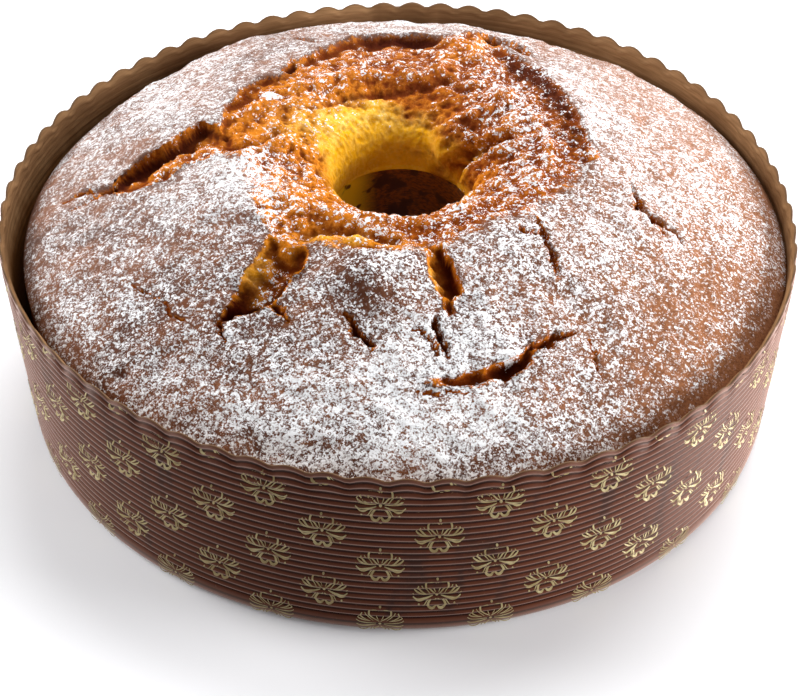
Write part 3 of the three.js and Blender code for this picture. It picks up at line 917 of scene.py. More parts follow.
def crust_colour(f, look, grain, share):
    """Baked crust, browned in patches, darker along broken edges, with painted shade where its slopes face
    away from the light, painted light toward the right, and dark pores.
    """
    crust = f.mix(grain.broad.rises(0.35, 0.65), look.crust, look.crust_dark)
    crust = f.mix((grain.patch.rises(0.45, 0.75) * 0.6).clamp(), crust, look.crust_pale)
    # Painted light: the crust is paler toward the right
    crust = f.mix(share.pale, crust, look.crust_pale)
    crust = f.mix(grain.grit.rises(0.5, 0.72) * 0.4, crust, look.crust_dark)
    crust = f.mix(((0.1 - grain.small) * 1.3).clamp() * 0.55, crust, look.crust_dark)
    # Darker along broken edges, and painted shade where slopes face away from the light
    darkened = (grain.fine.rises(0.5, 0.72) * 0.55 + share.scorch * 0.8).clamp()
    return f.mix(darkened, crust, look.crust_dark)


def crumb_colour(f, look, grain, share):
    """Torn crumb: golden where fresh, browner and darker in its creases with painted shade, moist and yellow
    in the throat, with painted shade low by the tube.
    """
    # Creases are less golden, part of the painted shade in them
    golden = (share.fresh * 1.1 + 0.12 + (grain.patch - 0.5) * 0.9 - share.crease * 0.35).clamp()
    crumb = f.mix(golden, look.crumb_brown, look.crumb)
    high = (grain.fine.rises(0.5, 0.7) * (0.25 + 0.4 * share.fresh)).clamp()
    crumb = f.mix(high, crumb, look.crumb_pale)
    crumb = f.mix((grain.grit.rises(0.55, 0.75) * 0.5).clamp(), crumb, look.crumb_brown)
    crumb = f.mix(((0.5 - grain.fine) * 6).clamp() * 0.65, crumb, look.crumb_dark)
    lit = (grain.patch.rises(0.35, 0.7) * 0.6 + grain.fine.rises(0.45, 0.65) * 0.6).clamp()
    moist = f.mix(lit, look.yellow, look.yellow_pale)
    moist = f.mix(((0.47 - grain.fine) * 5).clamp() * 0.3, moist, look.crumb)
    # Painted shade on the moist crumb low by the tube
    moist = f.mix((share.low * 0.75).clamp(), moist, look.olive)
    crumb = f.mix(share.yellow, crumb, moist)
    # Painted shade in the creases of the torn crumb
    return f.mix((share.crease * 0.75 * (1 - 0.6 * share.yellow)).clamp(), crumb, look.crumb_dark)


def dusting(grain, share, cover, crisp):
    """How white sugar makes each point: soft flecks on crust, crisp clumps on crumb."""
    uneven = (grain.grit - 0.5) * 0.4
    speckle = grain.small * 0.65 + grain.middle * 0.5 + grain.large * 0.15 + uneven
    clumped = grain.small * 0.45 + grain.middle * 0.6 + grain.large * 0.3 + uneven
    soft = (cover + (1.4 - 0.7 * share.film) * speckle).rises(0.18, 0.9)
    hard = (cover + 1.6 * clumped - 0.17).rises(0.42, 0.68)
    return (soft + crisp * (hard - soft)) * share.sugar.rises(0.03, 0.12)


def cake_finish(look):
    """Crust, torn crumb and sugar in one finish, told apart by the shares that the skin carries."""
    f = Finish("baked crust and crumb", look.crust)
    share = Shares(*(f.attribute(name) for name in Shares._fields))
    broad, patch = f.noise(16, 3), f.noise(3.6, 4, 0.6)
    fine, grit = f.noise(1.0, 4, 0.65), f.noise(0.45, 2, 0.7)
    grain = Grain(broad, patch, fine, grit, *(f.chance(size) - 0.5 for size in FLECKS))
    ragged = (fine - 0.5) * 1.1 + (grit - 0.5) * 0.5
    torn = (share.torn + ragged).rises(0.25, 0.75)
    deep = (share.deep + ragged * 0.5 * share.deep.rises(0.02, 0.2)).clamp()
    colour = f.mix(torn, crust_colour(f, look, grain, share), crumb_colour(f, look, grain, share))
    charred = (share.burnt * 1.15 + (patch - 0.5) * 1.2 + (fine - 0.5) * 1.8 + (grit - 0.5) * 0.9).clamp()
    colour = f.mix(charred * share.burnt.rises(0.05, 0.35), colour, look.burnt)
    # Painted shade in cracks, pockets and pits
    colour = f.mix(deep.rises(0.2, 0.95), colour, look.deep)
    cover = sugar_cover(f, f.place, share.sugar)
    crisp = (torn + share.burnt.rises(0.1, 0.5)).clamp()
    dusted = dusting(grain, share, cover, crisp)
    veil = (share.film * (0.2 + 0.6 * cover) * (1 - 0.9 * crisp)).clamp()
    colour = f.mix(veil, colour, look.veil)
    colour = f.mix(dusted.clamp(), colour, look.sugar)
    roughness = (0.5 + 0.2 * fine - 0.1 * share.yellow + 0.4 * dusted).clamp()
    cells = {"Vector": f.place, "Scale": 1 / PORES, "Smoothness": 0.5}
    pores = f.add("ShaderNodeTexVoronoi", {"feature": "SMOOTH_F1"}, cells)
    crumbs = torn * (1 - 0.4 * share.yellow) * (pores * 0.5 + patch * 0.5 + fine * 0.9)
    height = fine * 0.45 + grit * 0.3 + crumbs + dusted * 0.5
    return f.done(colour, roughness, height, bump=0.6, depth=0.4, **{"Specular IOR Level": 0.0})


def sugar_finish(look):
    f = Finish("powdered sugar", look.sugar)
    tone = f.noise(6, 2)
    colour = f.mix(tone.rises(0.3, 0.7), look.sugar, look.sugar_shade)
    return f.done(colour, 0.85 + 0.1 * f.noise(0.6, 2), f.noise(0.3, 2), bump=0.3, depth=0.1)


# Heights on the wall in millimetres: where the crease above its foot starts and ends, and where grease
# from the cake ends inside
CREASE_STARTS, CREASE_ENDS = (5.2, 6.0), (6.2, 7.2)
GREASE_ENDS = (45.0, 57.0)


def pleat_spacing(case):
    """Pleat to pleat, and the height of the first ridge."""
    pitch = (case.pleat_end - case.pleat_start) / case.pleats
    return pitch, case.pleat_start + 0.1 * pitch


def wall_finish(look, case):
    """Brown printed face outside, with painted shade in its furrows and a painted sheen where it is seen
    aslant; bare kraft inside, a little darker in its furrows with painted shade; a cut edge along the rim.
    """
    f = Finish("pleated case paper", look.paper)
    around, up, inner, edge, lap = (f.attribute(n) for n in ("around", "up", "inner", "edge", "lap"))
    pitch, first = (v / MM for v in pleat_spacing(case))
    ridge = ((up - first) * (2 * math.pi / pitch)).cos() * 0.5 + 0.5
    weave = f.add("ShaderNodeCombineXYZ", {}, {"X": around * 0.16, "Y": up * 1.8, "Z": 0.0})
    fibre = f.noise(1.0, 4, 0.6, at=weave)
    streak = f.noise(7, 3, 0.6, at=f.stretch(1, 1, 0.28))
    fleck = f.noise(0.5, 2, 0.7)
    # Painted shade: the furrows of the pleats and the crease above the foot are darkened
    creased = 0.75 * up.rises(*CREASE_STARTS) * (1 - up.rises(*CREASE_ENDS))
    band = ridge.rises(0.05, 0.6) * (1 - creased)
    brown = f.mix(band * (0.7 + 0.3 * fibre.rises(0.2, 0.6)), look.paper_dark, look.paper)
    brown = f.mix((fleck.rises(0.55, 0.8) * 0.35).clamp(), brown, look.paper_pale)
    soaked = (streak.rises(0.5, 0.72) * f.noise(55, 2).rises(0.36, 0.6) * 0.85).clamp()
    brown = f.mix(soaked, brown, look.grease)
    speck = f.noise(0.9, 1, 0.5).rises(0.77, 0.80)
    brown = f.mix((speck * 0.5).clamp(), brown, look.cut_edge)
    level = f.add("ShaderNodeSeparateXYZ", {}, {0: f.place}, 2)
    grain = f.add("ShaderNodeCombineXYZ", {}, {"X": around * 0.045, "Y": level * 1.9, "Z": 4.0})
    strands = f.noise(1.1, 5, 0.65, at=grain)
    # The kraft is a little darker in the furrows: painted shade
    kraft = f.mix((0.8 + 0.2 * ridge) * strands.rises(0.1, 0.75), look.kraft_dark, look.kraft)
    kraft = f.mix((f.noise(24, 3).rises(0.4, 0.7) * 0.5).clamp(), kraft, look.kraft_dark)
    greased = 1 - (up + f.noise(5, 3) * 9).rises(*GREASE_ENDS)
    kraft = f.mix(greased.clamp(), kraft, look.kraft_greased)
    kraft = f.mix((lap * 0.5).clamp(), kraft, look.kraft_dark)
    # Painted sheen: the printed face is paled where it is seen aslant
    turned = f.add("ShaderNodeLayerWeight", {}, {"Blend": 0.5}, 1)
    brown = f.mix((turned**2.0 * 0.9).clamp(), brown, look.paper_gloss)
    colour = f.mix(inner, brown, kraft)
    colour = f.mix(edge, colour, look.cut_edge)
    roughness = (0.26 + 0.16 * fibre - 0.06 * soaked + 0.35 * inner).clamp()
    height = fibre * 0.6 + strands * 0.5
    return f.done(colour, roughness, height, bump=0.2, depth=0.1, **{"Specular IOR Level": 0.07})


def print_finish(look):
    f = Finish("gold print", look.gold)
    worn = f.noise(0.7, 4, 0.7)
    colour = f.mix(f.noise(3, 2).rises(0.35, 0.65), look.gold, look.gold_pale)
    colour = f.mix((worn.rises(0.56, 0.7) * 0.45).clamp(), colour, look.paper_pale)
    return f.done(colour, 0.4 + 0.2 * worn, worn, bump=0.1, depth=0.05, **{"Metallic": 0.2})


def tube_finish(look):
    f = Finish("tube paper", look.tube)
    strands = f.noise(1.3, 4, 0.6, at=f.stretch(1, 1, 2.5))
    colour = f.mix(strands.rises(0.3, 0.7), look.tube_dark, look.tube)
    colour = f.mix(f.attribute("lit"), colour, look.tube_lit)
    spots = f.noise(6.0, 2, 0.55).rises(0.54, 0.6)
    colour = f.mix((spots * 0.9).clamp(), colour, look.tube_dark)
    return f.done(colour, 0.5 + 0.2 * strands, strands, bump=0.25, depth=0.12)


def disc_finish(look):
    f = Finish("disc paper", look.kraft)
    strands = f.noise(1.6, 4, 0.6, at=f.stretch(0.3, 1, 1))
    colour = f.mix(strands.rises(0.3, 0.7), look.kraft_dark, look.kraft)
    colour = f.mix((f.noise(18, 3).rises(0.4, 0.65) * 0.6).clamp(), colour, look.kraft_greased)
    return f.done(colour, 0.6 + 0.2 * strands, strands, bump=0.25, depth=0.12)


# Paper case


# Sizes of the case that seldom change, in metres: how far flutes stand out under the scallops, how far
# the print stands off the paper, on the pleats and beyond them, how far it stays below the edge and
# above the foot, and the half width over which the pleats run out
FLUTE_RISE = 0.00018
PRINT_PROUD, PRINT_PROUD_PLAIN = 0.00009, 0.0002
PRINT_BELOW_EDGE, PRINT_ABOVE_FOOT = 0.0007, 0.0012
PLEAT_RUNOUT = 0.0006
# Turn of the print about the hole, in degrees, and rows of flowers up the wall
PRINT_TURN = -88.3
PRINT_ROWS = 4
# Points to a scallop, to a pleat outside and inside, and height down to which pleats show inside
SCALLOP_STEPS, PLEAT_STEPS, PLEAT_STEPS_INSIDE = 7, 5, 2
PLEATED_INSIDE_TO = 20
# Where the paper overlaps: angle and half width in degrees, thickness and lowest height in millimetres
LAP_AT, LAP_HALF = 90, 5.6
LAP_THICK, LAP_FROM = 0.45, 8
# The tube: rows up each face, rise and pitch of its waves, wander and lift of its edge in millimetres
TUBE_ROWS = 26
TUBE_RISE, TUBE_PITCH = 0.08, 2.23
TUBE_WANDER, TUBE_LIFT = 0.12, 0.18
# The side of it that is lit: its angle, and how far from there light ends and is full, in degrees
LIT_AT, LIT_TO, LIT_FULL = 164, 56, 26


def wall_radius(angle, up, sizes):
    """Radius of the wall's outside at an angle and height share, without its pleats, as a field."""
    lobes = ((angle - math.pi / 3) * 3.0).cos() * sizes["lobes"]
    return sizes["foot"] + (sizes["rim"] - sizes["foot"]) * up + lobes * up


def pleats(z, sizes):
    """Level corrugations by height, as a field: 1 on a ridge, -1 in a furrow."""
    return ((z - sizes["first"]) * (2 * math.pi) / sizes["pitch"]).cos()


def wall_inputs(g, case):
    pitch, first = pleat_spacing(case)
    named = {
        "rim": ("Rim radius", case.rim_radius),
        "foot": ("Foot radius", case.foot_radius),
        "height": ("Wall height", case.height),
        "lobes": ("Out of round", case.out_of_round),
        "rise": ("Pleat rise", case.pleat_rise),
        "first": ("First pleat", first),
        "pitch": ("Pleat pitch", pitch),
        "wave": ("Scallop rise", case.scallop_rise),
    }
    return {key: g.input(name, value) for key, (name, value) in named.items()}


def wall_section(case):
    """Closed section of the wall: inset from the outside, height, shares of pleat, inside and cut edge."""
    h, thick, tab, base = (v / MM for v in (case.height, case.thick, case.foot_tab, case.base_thick))
    start, end = case.pleat_start / MM, case.pleat_end / MM
    rolled = ((4.2, 0), (2.2, 0.12), (0.9, 0.55), (0.2, 1.3), (-0.15, 2.4))
    creased = ((-0.25, 3.6), (-0.1, 4.7), (0.15, 5.4), (0.75, 5.9), (0.55, 6.3))
    rows = [(inset, z, 0, 0, 0) for inset, z in rolled + creased]
    steps = case.pleats * PLEAT_STEPS
    rows += [(0, start + (end - start) * k / steps, 1, 0, 0) for k in range(steps)]
    rows += [(0.05, end, 0.6, 0, 0), (0.06, end + 0.3, 0.3, 0, 0)]
    rows += [(0, h - 0.12, 0, 0, 0.3), (0.12, h, 0, 0, 0.8)]
    rows += [(0.4, h, 0, 0.6, 0.8), (0.52, h - 0.12, 0, 1, 0.5)]
    rows += [(0.65, h - 0.5, 0, 1, 0), (thick - 0.3, end - 0.4, 0.3, 1, 0)]
    steps = case.pleats * PLEAT_STEPS_INSIDE
    run = end - PLEATED_INSIDE_TO
    rows += [(thick, end - run * (k + 1) / steps, 0.55, 1, 0) for k in range(steps)]
    foot = ((thick, 7), (thick, 2), (thick + 0.8, base), (tab, base), (tab, 0))
    rows += [(inset, z, 0, 1, 0) for inset, z in foot]
    return np.array(rows)


def fold_wall(case, look):
    """The wall: its section swept round, then pleated, scalloped and set out of round by geometry nodes."""
    section = wall_section(case)
    columns = case.scallops * SCALLOP_STEPS
    g = Growth("fold case wall")
    sizes = wall_inputs(g, case)
    scallops = g.input("Scallops", float(case.scallops))
    inset, share = g.named("inset"), g.named("pleat")
    x, y, z = g.split()
    angle = y.math("ARCTAN2", x)
    up = (z / sizes["height"]).clamp()
    crown = up.rises(0.84, 1.0)
    ridge = pleats(z, sizes) * sizes["rise"] * share
    flute = (angle * scallops * 0.5).cos().math("ABSOLUTE") * 2.0 - 1.0
    radius = wall_radius(angle, up, sizes) - inset + ridge + flute * crown * FLUTE_RISE
    lifted = z + flute * crown * sizes["wave"]
    geometry = g.move(g.start(), x=angle.cos() * radius, y=angle.math("SINE") * radius, z=lifted)
    rows, turn = len(section), ring(columns)
    points = lathe([(case.rim_radius / MM, z) for z in section[:, 1]], columns)
    spread = {key: np.repeat(section[:, k], columns) for k, key in ((2, "pleat"), (3, "inner"), (4, "edge"))}
    spread["inset"] = np.repeat(section[:, 0], columns) * MM
    spread["around"] = np.tile(turn * case.rim_radius / MM, rows)
    spread["up"] = np.repeat(section[:, 1], columns)
    spread["lap"] = np.tile(np.clip(LAP_HALF - degrees_off(turn, LAP_AT), 0, 1), rows)
    doubled = np.where(spread["up"] > LAP_FROM, LAP_THICK, 0)
    spread["inset"] += spread["lap"] * spread["inner"] * doubled * MM
    flat = tidy_mesh("pleated_wall", points, torus_faces(rows, columns), spread)
    wall = g.grow(flat, geometry, wall_finish(look, case))
    wall.name = "pleated_wall"
    wall.shade_smooth()
    return wall


# Strokes of the printed flower: points in millimetres on its right half,
# half widths at start, middle and end
STROKES = (
    (((0.15, 0.9), (1.6, 2.0), (2.8, 3.5), (2.5, 5.0), (1.2, 5.4), (0.1, 4.5)), (0.1, 0.24, 0.2)),
    (((0.15, -0.9), (1.3, -1.8), (2.2, -3.1), (2.0, -4.6), (0.9, -5.0), (0.1, -4.2)), (0.12, 0.32, 0.24)),
    (((2.4, 0.9), (3.9, 1.7), (5.0, 2.9), (4.6, 3.8)), (0.08, 0.2, 0.14)),
    (((2.4, 0.9), (4.3, 1.3), (5.7, 2.2), (5.0, 2.9)), (0.08, 0.2, 0.08)),
    (((1.0, 0.15), (3.3, 0.15), (5.2, 0.5), (6.1, 1.3)), (0.08, 0.17, 0.1)),
    (((1.0, -0.25), (3.0, -0.8), (4.9, -1.0), (6.0, -0.4)), (0.08, 0.26, 0.12)),
    (((2.3, -1.4), (3.7, -2.2), (5.0, -2.2), (5.6, -1.5)), (0.08, 0.24, 0.1)),
    (((1.7, 1.1), (3.0, 2.6), (3.9, 3.9)), (0.07, 0.13, 0.09)),
    (((0.4, 1.5), (0.75, 2.3), (0.9, 3.2)), (0.07, 0.12, 0.07)),
    (((1.5, -1.0), (2.7, -2.7), (3.5, -3.6)), (0.07, 0.13, 0.08)),
)
# Its dots: x, z, radius
DOTS = ((0, 6.2, 0.32), (0, -6.1, 0.42), (4.5, -3.1, 0.26), (0, 0, 0.38))
DOT_SIDES = 8
STROKE_STEP = 0.45


def curve_through(points, count):
    """Evenly spaced points on a smooth curve through the given ones, and the curve's length."""
    p = np.array(points, float)
    p = np.vstack([2 * p[0] - p[1], p, 2 * p[-1] - p[-2]])
    fine = []
    for a, b, c, d in zip(p, p[1:], p[2:], p[3:]):
        square, cube = 2 * a - 5 * b + 4 * c - d, 3 * b - a - 3 * c + d
        for t in np.linspace(0, 1, 12, endpoint=False):
            fine.append(0.5 * (2 * b + (c - a) * t + square * t**2 + cube * t**3))
    fine = np.array([*fine, p[-2]])
    run = np.concatenate([[0], np.cumsum(np.linalg.norm(np.diff(fine, axis=0), axis=1))])
    at = np.linspace(0, run[-1], count)
    return np.stack([np.interp(at, run, fine[:, k]) for k in (0, 1)], axis=1), run[-1]


def flower_mesh():
    """One printed flower, flat in X and Z: ribbons for strokes and discs for dots, on both halves."""
    points, faces = [], []
    for stroke, widths in STROKES:
        _, length = curve_through(stroke, 2)
        count = max(4, round(length / STROKE_STEP))
        line, _ = curve_through(stroke, count)
        along = np.gradient(line, axis=0)
        along /= np.linalg.norm(along, axis=1)[:, None]
        side = np.stack([-along[:, 1], along[:, 0]], axis=1)
        half = np.interp(np.linspace(0, 1, count), (0, 0.5, 1), widths)[:, None]
        for mirror in (1, -1):
            start = len(points)
            for left, right in zip(line + side * half, line - side * half):
                points += [(mirror * left[0], 0, left[1]), (mirror * right[0], 0, right[1])]
            for k in range(start, start + 2 * count - 2, 2):
                quad = [k, k + 1, k + 3, k + 2]
                faces.append(quad if mirror > 0 else quad[::-1])
    for x, z, radius in DOTS:
        for mirror in (1, -1) if x else (1,):
            start, turn = len(points), ring(DOT_SIDES)
            points += [(mirror * x + radius * math.cos(t), 0, z + radius * math.sin(t)) for t in turn]
            faces.append([start + k for k in range(DOT_SIDES)])
    mesh = bpy.data.meshes.new("flower")
    mesh.from_pydata([tuple(v * MM for v in p) for p in points], [], faces)
    return mesh


def print_case(case, look):
    """Flowers set half a drop apart on a flat sheet, wrapped onto the pleated wall by geometry nodes."""
    g = Growth("print case")
    sizes = wall_inputs(g, case)
    columns = g.input("Columns", case.print_columns, "NodeSocketInt")
    drop = g.input("Drop", case.print_drop)
    high = g.input("Highest row", case.print_top)
    turned = g.input("Turn", math.radians(PRINT_TURN))
    proud = g.input("Proud of paper", PRINT_PROUD)
    scallops = g.input("Scallops", float(case.scallops))
    mean = 0.5 * (case.rim_radius + case.foot_radius)
    pitch = 2 * math.pi * mean / case.print_columns
    size = {"Size X": (columns - 1.0) * pitch, "Size Y": drop * (PRINT_ROWS - 1.0)}
    sheet = g.add("GeometryNodeMeshGrid", {}, {**size, "Vertices X": columns, "Vertices Y": PRINT_ROWS})
    x, y, _ = g.split()
    column = ((x / pitch) + 100.5).math("FLOOR")
    odd = column.math("MODULO", 2.0)
    sheet = g.move(sheet, x=x, y=0.0, z=y + high - drop * 1.5 + odd * drop * 0.5)
    flowers = g.add("GeometryNodeInstanceOnPoints", {}, {"Points": sheet, "Instance": g.start()})
    flowers = g.add("GeometryNodeRealizeInstances", {}, {"Geometry": flowers})
    x, _, z = g.split()
    angle = x / mean + turned
    up = (z / sizes["height"]).clamp()
    edge = sizes["height"] - PRINT_BELOW_EDGE + (angle * scallops).cos() * sizes["wave"]
    off = {"Geometry": flowers, "Selection": ((z > edge) + (z < PRINT_ABOVE_FOOT)) > 0.5}
    flowers = g.add("GeometryNodeDeleteGeometry", {"domain": "POINT"}, off)
    start, end = (z.rises(v - PLEAT_RUNOUT, v + PLEAT_RUNOUT) for v in (case.pleat_start, case.pleat_end))
    pleated = start * (1 - end)
    ridge = pleats(z, sizes) * sizes["rise"] * pleated
    radius = wall_radius(angle, up, sizes) + ridge + proud + (1 - pleated) * PRINT_PROUD_PLAIN
    geometry = g.move(flowers, x=angle.cos() * radius, y=angle.math("SINE") * radius, z=z)
    grown = g.grow(flower_mesh(), geometry, print_finish(look))
    grown.name = "printed_flowers"
    return grown


def tube_mesh(case):
    """The paper tube through the hole, slightly out of true, with a soft upper edge."""
    foot, top = case.core_foot / MM, case.core_top / MM
    thick, height = case.core_thick / MM, case.core_height / MM
    rows = [(0, 0), (0, 0.4)] + [(0, z) for z in np.linspace(2, height - 0.6, TUBE_ROWS)]
    rows += [(0.1, height - 0.2), (0.3, height), (thick - 0.3, height), (thick - 0.1, height - 0.2)]
    rows += [(thick, z) for z in np.linspace(height - 0.6, 2, TUBE_ROWS)] + [(thick, 0.4), (thick, 0)]
    turn = ring(PAPER_COLUMNS)
    sunny = smooth(LIT_TO, LIT_FULL, degrees_off(turn, LIT_AT))
    points = []
    for inset, z in rows:
        wander = TUBE_WANDER * np.sin(3 * turn + 0.05 * z) * min(1, z / 20)
        ridge = TUBE_RISE * math.cos(2 * math.pi * z / TUBE_PITCH)
        r = foot + (top - foot) * z / height - inset + wander + ridge
        lift = TUBE_LIFT * np.sin(5 * turn + 1) * smooth(height - 6, height, z)
        points.append(np.stack([r * np.cos(turn), r * np.sin(turn), z + lift * (z > 10)], axis=1))
    lit = np.concatenate([sunny * smooth(18, 34, z) * (inset > 0) for inset, z in rows])
    faces = torus_faces(len(rows), PAPER_COLUMNS)
    return tidy_mesh("paper_tube", np.concatenate(points), faces, {"lit": lit})


def disc_mesh(case):
    """The paper disc under the cake, with rounded edges."""
    inner = case.core_foot / MM + GAP
    outer = case.foot_radius / MM - case.foot_tab / MM - GAP
    thick, worn = case.base_thick / MM, 0.15
    rows = [(outer - worn, 0), (outer, worn), (outer, thick - worn), (outer - worn, thick)]
    rows += [(r, thick) for r in np.linspace(outer - 6, inner + 4, 10)]
    rows += [(inner + worn, thick), (inner, thick - worn), (inner, worn), (inner + worn, 0)]
    rows += [(r, 0) for r in np.linspace(inner + 4, outer - 6, 10)]
    return tidy_mesh("paper_disc", lathe(rows, PAPER_COLUMNS), torus_faces(len(rows), PAPER_COLUMNS))


# Cake and sugar


# Where things set in on the skin and where they are full, in millimetres: radii at which its relief has
# ended at the shoulder, at which the throat nears the tube, at which it takes on the wall's outline and
# at which the shoulder is lifted; heights at which the shoulder is pulled in; hollow of a full crease
RELIEF_ENDS, NEAR_TUBE = (102, 107), (25, 19.5)
FOLLOWS_WALL, LIFTED = (60, 106), (55, 92)
PULLED_IN = (12, 40)
FULL_CREASE = 0.5
# Slopes, 1 where level, at which sugar starts to stay and at which all stays
SUGAR_STAYS = (0.45, 0.92)


def blurred(grid, reach=4):
    """A grid of heights averaged over its neighbours, closed along its columns."""
    total = sum(np.roll(grid, k, axis=1) for k in range(-reach, reach + 1)) / (2 * reach + 1)
    rows = np.arange(len(grid))
    return sum(total[np.clip(rows + k, 0, len(grid) - 1)] for k in range(-reach, reach + 1)) / (2 * reach + 1)


def cake_mesh(cake, case):
    """The cake's whole skin on a polar grid."""
    dome, columns = Dome(cake, case), SKIN_COLUMNS
    section = dome.section()
    slope = np.gradient(section[:, :2], axis=0)
    slope /= np.linalg.norm(slope, axis=1)[:, None]
    r, a = np.repeat(section[:, 0], columns), np.tile(ring(columns), len(section))
    z, top = np.repeat(section[:, 1], columns), np.repeat(section[:, 2], columns)
    nr, nz = np.repeat(slope[:, 1], columns), np.repeat(-slope[:, 0], columns)
    base = np.stack([r * np.cos(a), r * np.sin(a), z], axis=1)
    skin = Skin(cake, base)
    fade = top * (1 - smooth(*RELIEF_ENDS, r))
    rise, shares = skin.rise * fade, skin.shares()
    crease = np.clip((blurred(rise.reshape(-1, columns)).ravel() - rise) / FULL_CREASE, -1, 1)
    shares["crease"] = crease
    # Low in the throat by the tube, where the finish paints shade on the moist crumb
    shares["low"] = smooth(*NEAR_TUBE, r)
    shares["film"] = 0.12 + 0.5 * smooth(-60, 40, skin.y - 0.3 * skin.x)
    # Paler crust toward the right: painted light from the right side
    shares["pale"] = 0.8 * smooth(15, 85, skin.x)
    lobe = case.out_of_round / MM * np.cos(3 * (a - math.pi / 3)) * np.clip(z / dome.rim, 0, 1)
    pull = (round_table(SHOULDER_EDGE, skin.degrees) - SHOULDER) * smooth(*PULLED_IN, z)
    lift = round_table(SHOULDER_LIFT, skin.degrees) * smooth(*LIFTED, r) * top
    out = r + (lobe + pull) * smooth(*FOLLOWS_WALL, r) + nr * rise
    points = np.stack([out * np.cos(a), out * np.sin(a), z + nz * rise + lift], axis=1)
    points[:, :2] += skin.shift * fade[:, None]
    grid = points.reshape(len(section), columns, 3)
    normal = np.cross(np.roll(grid, -1, axis=1) - np.roll(grid, 1, axis=1), np.gradient(grid, axis=0))
    level = (normal[..., 2] / np.maximum(np.linalg.norm(normal, axis=2), 1e-9)).ravel()
    fallen = 0.24 * (1 - smooth(*SUGAR_STAYS, level)) + crease * (0.04 + 0.08 * shares["torn"])
    shares["sugar"] = np.clip(shares["sugar"] - fallen, 0, 1)
    baked = smooth(0, 0.1, top)
    shares = {key: share * baked for key, share in shares.items()}
    return tidy_mesh("baked_cake", points, torus_faces(len(section), columns), shares)


# Drifts and clumps that the dusting is broken up into: size in millimetres, share of the cover
BREAKUP = ((8.0, 0.42), (3.0, 0.45), (1.5, 0.5))


def sugar_cover(nodes, place, share):
    """Share of the skin that sugar covers at a place: the dusting broken up into drifts and clumps."""
    total = share
    for size, part in BREAKUP:
        sockets = {"Vector": place, "Scale": 1 / size, "Detail": 2.0, "Roughness": 0.55}
        total = total + (nodes.add("ShaderNodeTexNoise", {"noise_dimensions": "3D"}, sockets) - 0.5) * part
    return total.clamp() * share.rises(0.02, 0.12)


# Kinds of sugar: grains per square metre, least and most size, seed, facets,
# cover at which they start and are thickest, how they shun crumb
Sugar = namedtuple("Sugar", "name density least most seed facets thin thick shy")
SUGARS = (
    Sugar("sugar_powder", 2.0e6, 0.00018, 0.00032, 11, 4, 0.1, 0.9, 0.0),
    Sugar("sugar_grains", 0.9e6, 0.00026, 0.00044, 23, 8, 0.3, 1.0, 0.3),
    Sugar("sugar_clumps", 0.5e6, 0.00040, 0.00062, 37, 20, 0.5, 1.1, 0.8),
)
# One grain of each number of facets: its node, settings and sizes for a width of about 1
GRAINS = {
    4: ("GeometryNodeMeshCone", {"fill_type": "NGON"}, {"Vertices": 3, "Radius Bottom": 0.55, "Depth": 0.75}),
    8: ("GeometryNodeMeshUVSphere", {}, {"Segments": 4, "Rings": 2, "Radius": 0.5}),
    20: ("GeometryNodeMeshIcoSphere", {}, {"Subdivisions": 1, "Radius": 0.5}),
}
# Ranges of a grain's tilt and spin, in radians, and of its width, length and height
GRAIN_TURN = ((-0.4, -0.4, 0.0), (0.4, 0.4, 6.28))
GRAIN_SHAPE = ((0.75, 0.75, 0.45), (1.3, 1.3, 0.75))


def dust(kind, cake, material):
    """Grains of one kind, scattered over the crust where sugar lies and set a little into it."""
    g = Growth("dust " + kind.name)
    amount = g.input("Grains per square metre", kind.density)
    small, large = g.input("Smallest grain", kind.least), g.input("Largest grain", kind.most)
    chance = g.input("Seed", kind.seed, "NodeSocketInt")
    place = g.add("GeometryNodeInputPosition")
    place = g.add("ShaderNodeVectorMath", {"operation": "SCALE"}, {0: place, 3: 1 / MM})
    cover = sugar_cover(g, place, g.named("sugar")).rises(kind.thin, kind.thick)
    cover = cover * (1 - kind.shy * g.named("torn"))
    spread = g.add(
        "GeometryNodeDistributePointsOnFaces",
        {"distribute_method": "RANDOM"},
        {"Mesh": g.start(), "Density": cover * amount, "Seed": chance},
    )
    lying = Wire(g, spread.socket.node.outputs["Rotation"])
    grain = g.add(*GRAINS[kind.facets])
    spin, shape = (
        g.add("FunctionNodeRandomValue", {"data_type": "FLOAT_VECTOR"}, {0: low, 1: high, "Seed": seed})
        for (low, high), seed in ((GRAIN_TURN, 3), (GRAIN_SHAPE, 9))
    )
    turning = {"Rotation": lying, "Rotate By": spin}
    turn = g.add("FunctionNodeRotateRotation", {"rotation_space": "LOCAL"}, turning)
    size = g.add("FunctionNodeRandomValue", {"data_type": "FLOAT"}, {2: small, 3: large, "Seed": 5}, 1)
    scale = g.add("ShaderNodeVectorMath", {"operation": "SCALE"}, {0: shape, 3: size})
    lie = {"Points": spread, "Instance": grain, "Rotation": turn, "Scale": scale}
    mesh = g.grow(cake, g.add("GeometryNodeInstanceOnPoints", {}, lie), material)
    mesh.name = kind.name
    return mesh


# Settings


def colour(name, description, value):
    bounds = {"subtype": "COLOR", "size": 3, "min": 0, "max": 1}
    return FloatVectorProperty(name=name, description=description, default=value, **bounds)


def length(name, description, value):
    return FloatProperty(name=name, description=description, default=value, unit="LENGTH", precision=5)


def number(name, description, value, **more):
    return FloatProperty(name=name, description=description, default=value, **more)


def count(name, description, value):
    return IntProperty(name=name, description=description, default=value)


